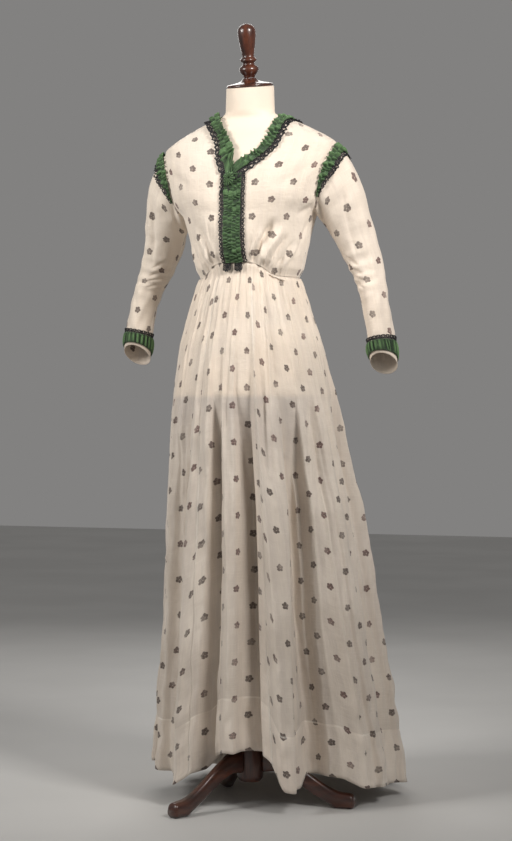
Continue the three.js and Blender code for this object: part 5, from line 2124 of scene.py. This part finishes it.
@dataclass
class CuffTrim:
    """Silk band with lace above it round one cuff."""

    shape: SleeveShape
    side: Side
    lace_top: float = 0.908
    lace_foot: float = 0.936
    silk_top: float = 0.937
    silk_foot: float = 0.985
    pleats: int = 22
    scallops: int = 20
    girth: float = 0.215

    def ring(self, top: float, foot: float, lift: Callable[[Array, Array], Array]) -> Lay:
        """Lie of a sheet round the sleeve between two places along it.

        Args:
            top: Where its upper edge is.
            foot: Where its lower edge is.
            lift: Its height over the sleeve.

        Returns:
            The lie, from shares round the sleeve and down the sheet.
        """

        def lay(u: Array, v: Array) -> Laid:
            """Lie of the band from its upper edge down.

            Args:
                u: Share round.
                v: Share down.

            Returns:
                The lie.
            """
            turn, along = 360 * u, mix(top, foot, v)
            out = self.shape.surface.normal(turn, along)
            points = self.shape.at(turn, along) + out * lift(u, v)[..., None]
            flat = np.stack([self.girth * u, (1 - v) * (foot - top) * 0.42], axis=-1)
            shade = np.stack([(lift(u, v) - 1.6) / 3.4, v], axis=-1)
            points = self.shape.worn(self.side, points, along)
            return Laid(points, flat, shade, out * self.side.mirror)

        return lay

    def band_lift(self, u: Array, v: Array) -> Array:
        """Pleated puff of the band, its pleats even where its ends meet.

        Args:
            u: Share round.
            v: Share down.

        Returns:
            Height over the sleeve.
        """
        wave = gathers(u * self.pleats + 0.3 * np.sin(9 * u * math.tau) * v, 111, 0.5)
        even = np.cos(math.tau * self.pleats * u)
        wave = wave * np.cos(math.pi * u) ** 2 + even * np.sin(math.pi * u) ** 2
        return 1.4 + WALL[Slot.SILK] + 4.0 * np.sin(np.pi * v) ** 0.6 * (0.35 + 0.65 * wave)

    def lace_lift(self, u: Array, v: Array) -> Array:
        """Ripple of the edging."""
        return 1.2 + WALL[Slot.LACE] + 2.6 * (1 - v) * (1 + np.cos(math.tau * self.scallops * u)) / 2

    def build(self, trimmer: Trimmer) -> None:
        """Lay the band and its lace.

        Args:
            trimmer: Who lays them.
        """
        room, word = trimmer.room, self.side.word
        sleeve = f"sleeve_{word}_cloth"
        lay = self.ring(self.silk_top, self.silk_foot, self.band_lift)
        silk = room.sheet(f"cuff_ruche_{word}_silk", 264, 14, lay, around=True)
        room.cloth(silk, trimmer.silk, Slot.SILK, f"cuff_ruche_{word}", Cut((0.28, 0.03), sleeve))
        lay = self.ring(self.lace_top, self.lace_foot, self.lace_lift)
        edging = room.sheet(f"cuff_lace_{word}_edging", 240, 8, lay, around=True)
        scallop = self.girth / self.scallops
        finish = BobbinLace(f"black lace cuff {word}", 0.0098, scallop, mesh=0.0024, eyelet=0.2).make()
        room.cloth(edging, finish, Slot.LACE, f"cuff_lace_{word}", Cut((0.22, NARROWEST), sleeve))


@dataclass
class WaistCord:
    """Free end of the cotton cord drawn through the waist."""

    skirt: SkirtShape
    radius: float = 1.5
    start: float = 40
    end: float = 58

    def build(self, room: Workroom, material: Material) -> None:
        """Lay the twisted cord along the waist seam.

        Args:
            room: Where it is made.
            material: Its finish.
        """

        def centre(share: Array) -> Array:
            """Middle of the cord.

            Args:
                share: Share of the way along it.

            Returns:
                The point.
            """
            angle = mix(self.start, self.end, share)
            z = LEVELS.waist(angle) - 3 - 5 * share**2
            return self.skirt.envelope(angle, z, 2.4 + self.radius + 0.1)

        def lay(u: Array, v: Array) -> Laid:
            """Lie of the cord's skin round and along it.

            Args:
                u: Share round.
                v: Share along.

            Returns:
                The lie.
            """
            middle = centre(v)
            tangent = unit(centre(v + 0.01) - centre(v - 0.01))
            side = unit(np.cross(tangent, np.array([0, 0, 1.0])))
            up = np.cross(side, tangent)
            turn = math.tau * u
            strand = self.radius * (0.86 + 0.14 * np.abs(np.cos(1.5 * turn - v * 24)))
            end = np.sqrt(np.clip(1 - np.abs(2 * v - 1) ** 24, 0.02, 1))
            out = side * np.cos(turn)[..., None] + up * np.sin(turn)[..., None]
            flat = np.stack([u * 0.009, v * 0.034], axis=-1)
            return Laid(middle + out * (strand * end)[..., None], flat, flat + 0.1, out)

        piece = room.sheet("waist_cord_end", 24, 90, lay, around=True, capped=True)
        room.finish(piece, material, Slot.MUSLIN, "waist_cord")
        line = centre(np.linspace(0, 1, 24)) * MM + room.pole
        [float(x) for x in line[0]]
        [[float(x) for x in point] for point in line]


# --- the form and its stand


@dataclass
class DressForm:
    """Padded torso and neck under a linen cover."""

    bodice: BodiceShape
    columns: int = 96
    lean: float = 10
    lower: Table = Table(
        "z half front back",
        [
            (832, 140, 108, 108), (840, 145, 113, 114), (900, 143, 108, 114), (960, 132, 96, 106),
            (1020, 114, 84, 90), (1060, 101, 77, 76), (1090, 98, 76, 73), (1125, 103, 79, 77),
            (1160, 116, 88, 87), (1180, 122, 93, 92),
        ],
    )
    ease: Curve = Curve(
        [(1199, 7), (1268, 6), (1303, 5), (1326, 3.6), (1343, 2.3), (1374, 1.4), (1389, 4), (1402, 7)]
    )
    neck: Table = Table(
        "z half front back", [(1414, 51, 44, 50), (1440, 50, 46, 49), (1468, 49, 47, 49)]
    )
    wall: float = 1.2

    def _oval(self, table: Table, angle: Array, z: Array) -> Array:
        """Point of an oval section.

        Args:
            table: Its measurements.
            angle: Angle round the body.
            z: Height.

        Returns:
            The point.
        """
        sine, cosine = polar(angle)
        depth = np.where(cosine > 0, table["front"](z), table["back"](z))
        return np.stack([table["half"](z) * sine, -depth * cosine, z + 0 * sine], axis=-1)

    def build(self, room: Workroom, material: Material) -> None:
        """Make the covered torso, closed at its base and neck.

        Args:
            room: Where it is made.
            material: Its finish.
        """
        heights = np.concatenate(
            [
                [832.0, 832.4, 834, 837, 841], np.linspace(850, 1170, 40), np.linspace(1178, 1389, 42),
                [1394, 1398, 1402, 1407], np.linspace(1413, 1467, 14), [1467.6, 1468.0],
            ]
        )

        def lay(u: Array, v: Array) -> Laid:
            """Lie of the cover from its base to the top of the neck.

            Args:
                u: Share round.
                v: Share up.

            Returns:
                The lie.
            """
            z = heights[np.rint(v * (len(heights) - 1)).astype(int)]
            angle = 180 + 360 * u
            low = self._oval(self.lower, angle, z)
            held = np.clip(z, 1190, 1402)
            inward = self.bodice.surface.normal(angle, held) * (self.wall + self.ease(held))[..., None]
            upper = self.bodice.at(angle, held) - inward
            high = self._oval(self.neck, angle, z)
            points = mix(low, upper, smooth(z, 1160, 1199)[..., None])
            points = mix(points, high, smooth(z, 1398, 1416)[..., None])
            lean = np.tan(np.radians(self.lean * smooth(z, 1414, 1468)))
            points[..., 2] = z + points[..., 1] * lean
            rim = np.clip((z - 832) / 6, 0, 1)
            inset = 1 - 0.03 * (1 - np.sqrt(1 - (1 - rim) ** 2))
            points[..., :2] *= inset[..., None]
            flat, edge = flat_cloth(points[:, ::-1])
            return Laid(points, flat[:, ::-1], edge[:, ::-1], unit(points * np.array([1, 1, 0])))

        rows = len(heights) - 1
        piece = room.sheet("form_cover_torso", self.columns, rows, lay, around=True, capped=True)
        room.finish(piece, material, Slot.FORM, "form_torso")


@dataclass
class Stand:
    """Turned cap, finial, hub and pole, with three carved legs."""

    lean: float = 10
    join: float = 0.3
    cap_height: float = 19
    leg_angles: tuple[tuple[str, float], ...] = (("front", -23), ("left", 97), ("back", 217))
    cap: tuple[tuple[float, float], ...] = (
        (0, 0.3), (45, 0.3), (47.2, 1.1), (48, 2.8), (47.6, 4.6), (46, 6.1), (43.5, 6.9), (40, 7.2),
        (38.6, 7.8), (36, 8.2), (30, 9.2), (23, 11), (18.5, 13.2), (15.5, 15.6), (14, 17.4),
        (13.2, 19), (0, 19),
    )
    finial: tuple[tuple[float, float], ...] = (
        (0, 0), (11, 0), (11.4, 2), (12.2, 4.4), (14.6, 7.4), (17.4, 10.6), (19.4, 14), (20, 17),
        (19.4, 20), (17.4, 22.6), (14, 25.2), (12, 27.4), (11.6, 29.2), (12.4, 31), (14.6, 32.4),
        (16.4, 34), (17, 36), (16.4, 38), (14.4, 39.8), (12.8, 41.4), (12.2, 43.6), (12.6, 48),
        (13.8, 55), (15.4, 64), (17, 74), (18.1, 84), (18.5, 91), (18.2, 96), (16.8, 100.2),
        (13.8, 104), (9.6, 107), (4.6, 108.7), (0, 109),
    )
    hub: tuple[tuple[float, float], ...] = (
        (0, 46), (17.5, 46), (20, 46.9), (22.4, 49.6), (25.4, 53.4), (27, 58.5), (27, 92), (27, 117),
        (26.2, 121.4), (23.4, 126), (19, 130), (16.2, 134), (15, 140), (15, 147), (16.2, 151.4),
        (19.2, 155.4), (20, 158.4), (20, 163.4), (19.2, 165), (0, 165),
    )
    pole: tuple[tuple[float, float], ...] = (
        (0, 165.3), (11.6, 165.3), (12, 166), (12, 300), (12, 440), (12, 600), (12, 740),
        (12, 830.8), (11.6, 831.5), (0, 831.5),
    )
    leg: Table = Table(
        "share reach bottom top half",
        [
            (0, 27.3, 66, 112, 9), (0.11, 50, 68, 112, 10), (0.26, 80, 58, 98, 10),
            (0.41, 110, 41, 78, 10), (0.56, 140, 22, 57, 10), (0.69, 165, 9, 42, 11),
            (0.8, 185, 0, 34, 13), (0.95, 214, 0, 29, 14), (1, 219, 4, 20, 11),
        ],
    )

    def build(self, room: Workroom, upright: Material, lying: Material) -> None:
        """Make every wooden piece.

        Args:
            room: Where they are made.
            upright: Finish of the turned pieces.
            lying: Finish of the legs.
        """
        lean = Matrix.Rotation(math.radians(self.lean), 4, "X")
        top = Matrix.Translation((0, 0, LEVELS.neck_top)) @ lean
        above = top @ Matrix.Translation((0, 0, self.cap_height + self.join))
        for name, profile, place in (
            ("neck_cap", self.cap, top),
            ("finial", self.finial, above),
            ("stand_hub", self.hub, Matrix.Identity(4)),
            ("stand_pole", self.pole, Matrix.Identity(4)),
        ):
            room.finish(room.turned(f"{name}_turned", profile, place), upright, Slot.WOOD, name)
        for name, angle in self.leg_angles:
            self.foot(room, name, angle, lying)

    def foot(self, room: Workroom, name: str, angle: float, material: Material) -> None:
        """Carved leg: flat underneath, rounded on top, with a pad foot.

        Args:
            room: Where it is made.
            name: Place of the leg.
            angle: Its angle round the pole.
            material: Its finish.
        """
        sine, cosine = math.sin(math.radians(angle)), math.cos(math.radians(angle))

        def lay(u: Array, v: Array) -> Laid:
            """Lie of the leg's skin round its section and outward.

            Args:
                u: Share round.
                v: Share outward.

            Returns:
                The lie.
            """
            reach, bottom, top, half = (self.leg[key](v) for key in ("reach", "bottom", "top", "half"))
            turn = math.tau * u
            across = np.sign(np.sin(turn)) * np.abs(np.sin(turn)) ** 0.62
            up = np.sign(np.cos(turn)) * np.abs(np.cos(turn)) ** 0.8
            middle, tall = (bottom + top) / 2, (top - bottom) / 2
            x = half * across
            z = middle + tall * up
            points = np.stack([x * cosine + reach * sine, x * sine - reach * cosine, z], axis=-1)
            out = np.stack([across * cosine, across * sine, up], axis=-1)
            flat = np.stack([u * 0.1, v * 0.2], axis=-1)
            return Laid(points, flat, flat, out)

        piece = room.sheet(f"stand_leg_{name}_carved", 40, 60, lay, around=True, capped=True)
        room.finish(piece, material, Slot.WOOD, f"stand_leg_{name}")


# --- the studio


@dataclass(frozen=True)
class Lamp:
    """One soft lamp: where it stands about the pole, its width and its power."""

    name: str
    place: tuple[float, float, float]
    width: float
    power: float
    colour: tuple[float, float, float] = (1.0, 0.97, 0.93)
    spread: float = 180.0
    aim: float = 1.1


@dataclass
class Studio:
    """Plain pale floor, soft lamps and the camera."""

    azimuth: float = 22
    distance: float = 4.0
    height: float = 0.785
    sideways: float = 0.012
    lens: float = 83.5
    air_colour: Colour = (0.86, 0.845, 0.83, 1)
    air_strength: float = 0.26
    lamps: tuple[Lamp, ...] = (
        Lamp("key lamp", (1.75, -1.1, 2.25), 0.6, 7.3, (1.0, 0.97, 0.935), 64, 1.24),
        Lamp("low key lamp", (1.7, -1.2, 1.5), 0.6, 1.9, (1.0, 0.96, 0.92), 180, 0.5),
        Lamp("fill lamp", (-1.5, -1.8, 2.1), 0.9, 9.6, (1.0, 0.975, 0.94), 78, 1.2),
        Lamp("back lamp", (-1.2, 2.4, 2.4), 1.4, 20, (1.0, 0.975, 0.95)),
    )

    def build(self, room: Workroom) -> None:
        """Set up the floor, the lamps and the camera.

        Args:
            room: Where the pole is known.
        """
        self.floor()
        world = bpy.data.worlds.new("studio air")
        world.use_nodes = True
        air = world.node_tree.nodes["Background"]
        air.inputs["Color"].default_value = self.air_colour
        air.inputs["Strength"].default_value = self.air_strength
        bpy.context.scene.world = world
        bpy.context.scene.view_settings.view_transform = "Standard"
        pole = Vector(room.pole)
        for lamp in self.lamps:
            self.lamp(lamp, pole)
        self.camera(pole)

    def floor(self) -> None:
        """Pale floor, not part of the object."""
        shape = bmesh.new()
        bmesh.ops.create_grid(shape, x_segments=8, y_segments=8, size=9.0)
        floor = Workroom.place("studio_floor", shape, smooth_faces=False)
        recipe = Recipe("pale studio floor")
        tone = recipe.noise(recipe.place(), 1.5, 3.0)
        share = recipe.step(tone, 0.3, 0.7)
        colour = recipe.blend(share, (0.60, 0.595, 0.58, 1), (0.65, 0.645, 0.63, 1))
        floor.data.materials.append(recipe.surface({"Base Color": colour, "Roughness": 0.75}))
        floor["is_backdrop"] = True

    def lamp(self, lamp: Lamp, pole: Vector) -> None:
        """One square lamp aimed at the dress.

        Args:
            lamp: Its sizes.
            pole: Foot of the pole.
        """
        light = bpy.data.lights.new(lamp.name, "AREA")
        light.shape = "SQUARE"
        light.size = lamp.width
        light.energy = lamp.power
        light.color = lamp.colour
        light.spread = math.radians(lamp.spread)
        holder = bpy.data.objects.new(lamp.name, light)
        holder.location = pole + Vector(lamp.place)
        aim = pole + Vector((0, 0, lamp.aim)) - holder.location
        holder.rotation_euler = aim.to_track_quat("-Z", "Y").to_euler()
        bpy.context.scene.collection.objects.link(holder)

    def camera(self, pole: Vector) -> None:
        """Level camera a little to the wearer's left of the front.

        Args:
            pole: Foot of the pole.
        """
        turn = math.radians(self.azimuth)
        back = Vector((math.sin(turn), -math.cos(turn), 0))
        right = Vector((math.cos(turn), math.sin(turn), 0))
        data = bpy.data.cameras.new("studio camera")
        data.lens = self.lens
        data.sensor_width = 36
        camera = bpy.data.objects.new("studio camera", data)
        aside = right * self.sideways + Vector((0, 0, self.height))
        camera.location = pole + back * self.distance + aside
        camera.rotation_euler = (-back).to_track_quat("-Z", "Y").to_euler()
        bpy.context.scene.collection.objects.link(camera)
        bpy.context.scene.camera = camera


# --- putting it together


def corners(box: tuple[Vector, Vector]) -> list[list[float]]:
    """A box as plain lists of numbers."""
    return [[float(x) for x in corner] for corner in box]


def main() -> None:
    """Build the dress, its form and stand, and the studio."""
    logging.basicConfig(level=logging.INFO, format="%(name)s: %(message)s")
    solid_box = corners(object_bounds())
    room = Workroom()
    # The skirt's cloth is painted darker below the form's base, at 0.833 m, and lighter over the form.
    skirt_cloth = SprigMuslin(
        "sprigged muslin skirt", facing=FACING * MM, streaks=0.3, backed_above=0.833
    ).make()
    warm = (0.86, 0.755, 0.64, 1)
    upper = SprigMuslin("sprigged muslin bodice", cover=0.97, phase=(0.011, 0.02), light=warm)
    bodice_cloth = replace(upper, shade=(0.77, 0.665, 0.555, 1)).make()
    lower = replace(upper, name="sprigged muslin sleeves", cover=0.92, phase=(0.004, 0.051))
    sleeve_cloth = replace(lower, shade=(0.75, 0.65, 0.54, 1)).make()
    cord_cotton = SprigMuslin("plain cotton cord", cover=1.0, column=9.0, pitch=9.0).make()
    silk = GatheredSilk().make()

    bodice_shape = BodiceShape()
    skirt_shape = SkirtShape()
    sleeve_shape = SleeveShape(bodice_shape)
    DressForm(bodice_shape).build(room, FormLinen().make())
    turned = PolishedWood("polished turned wood").make()
    carved = PolishedWood("polished carved wood", upright=False).make()
    Stand().build(room, turned, carved)
    bodice = Bodice(bodice_shape, sleeve_shape)
    bodice.front(room, Side.LEFT, bodice_cloth)
    bodice.front(room, Side.RIGHT, bodice_cloth)
    bodice.back(room, bodice_cloth)
    for side in Side:
        Sleeve(sleeve_shape, side).build(room, sleeve_cloth)
    Skirt(skirt_shape).build(room, skirt_cloth)

    trimmer = Trimmer(room, silk)
    NeckTrim(bodice_shape, bodice).build(trimmer)
    Plastron(bodice_shape, skirt_shape).build(trimmer)
    for side in Side:
        ArmholeTrim(sleeve_shape, side).build(trimmer)
        CuffTrim(sleeve_shape, side).build(trimmer)
    WaistCord(skirt_shape).build(room, cord_cotton)
    Studio().build(room)

    {"cad": solid_box, "visual": corners(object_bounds())}


if __name__ == "__main__":
    main()
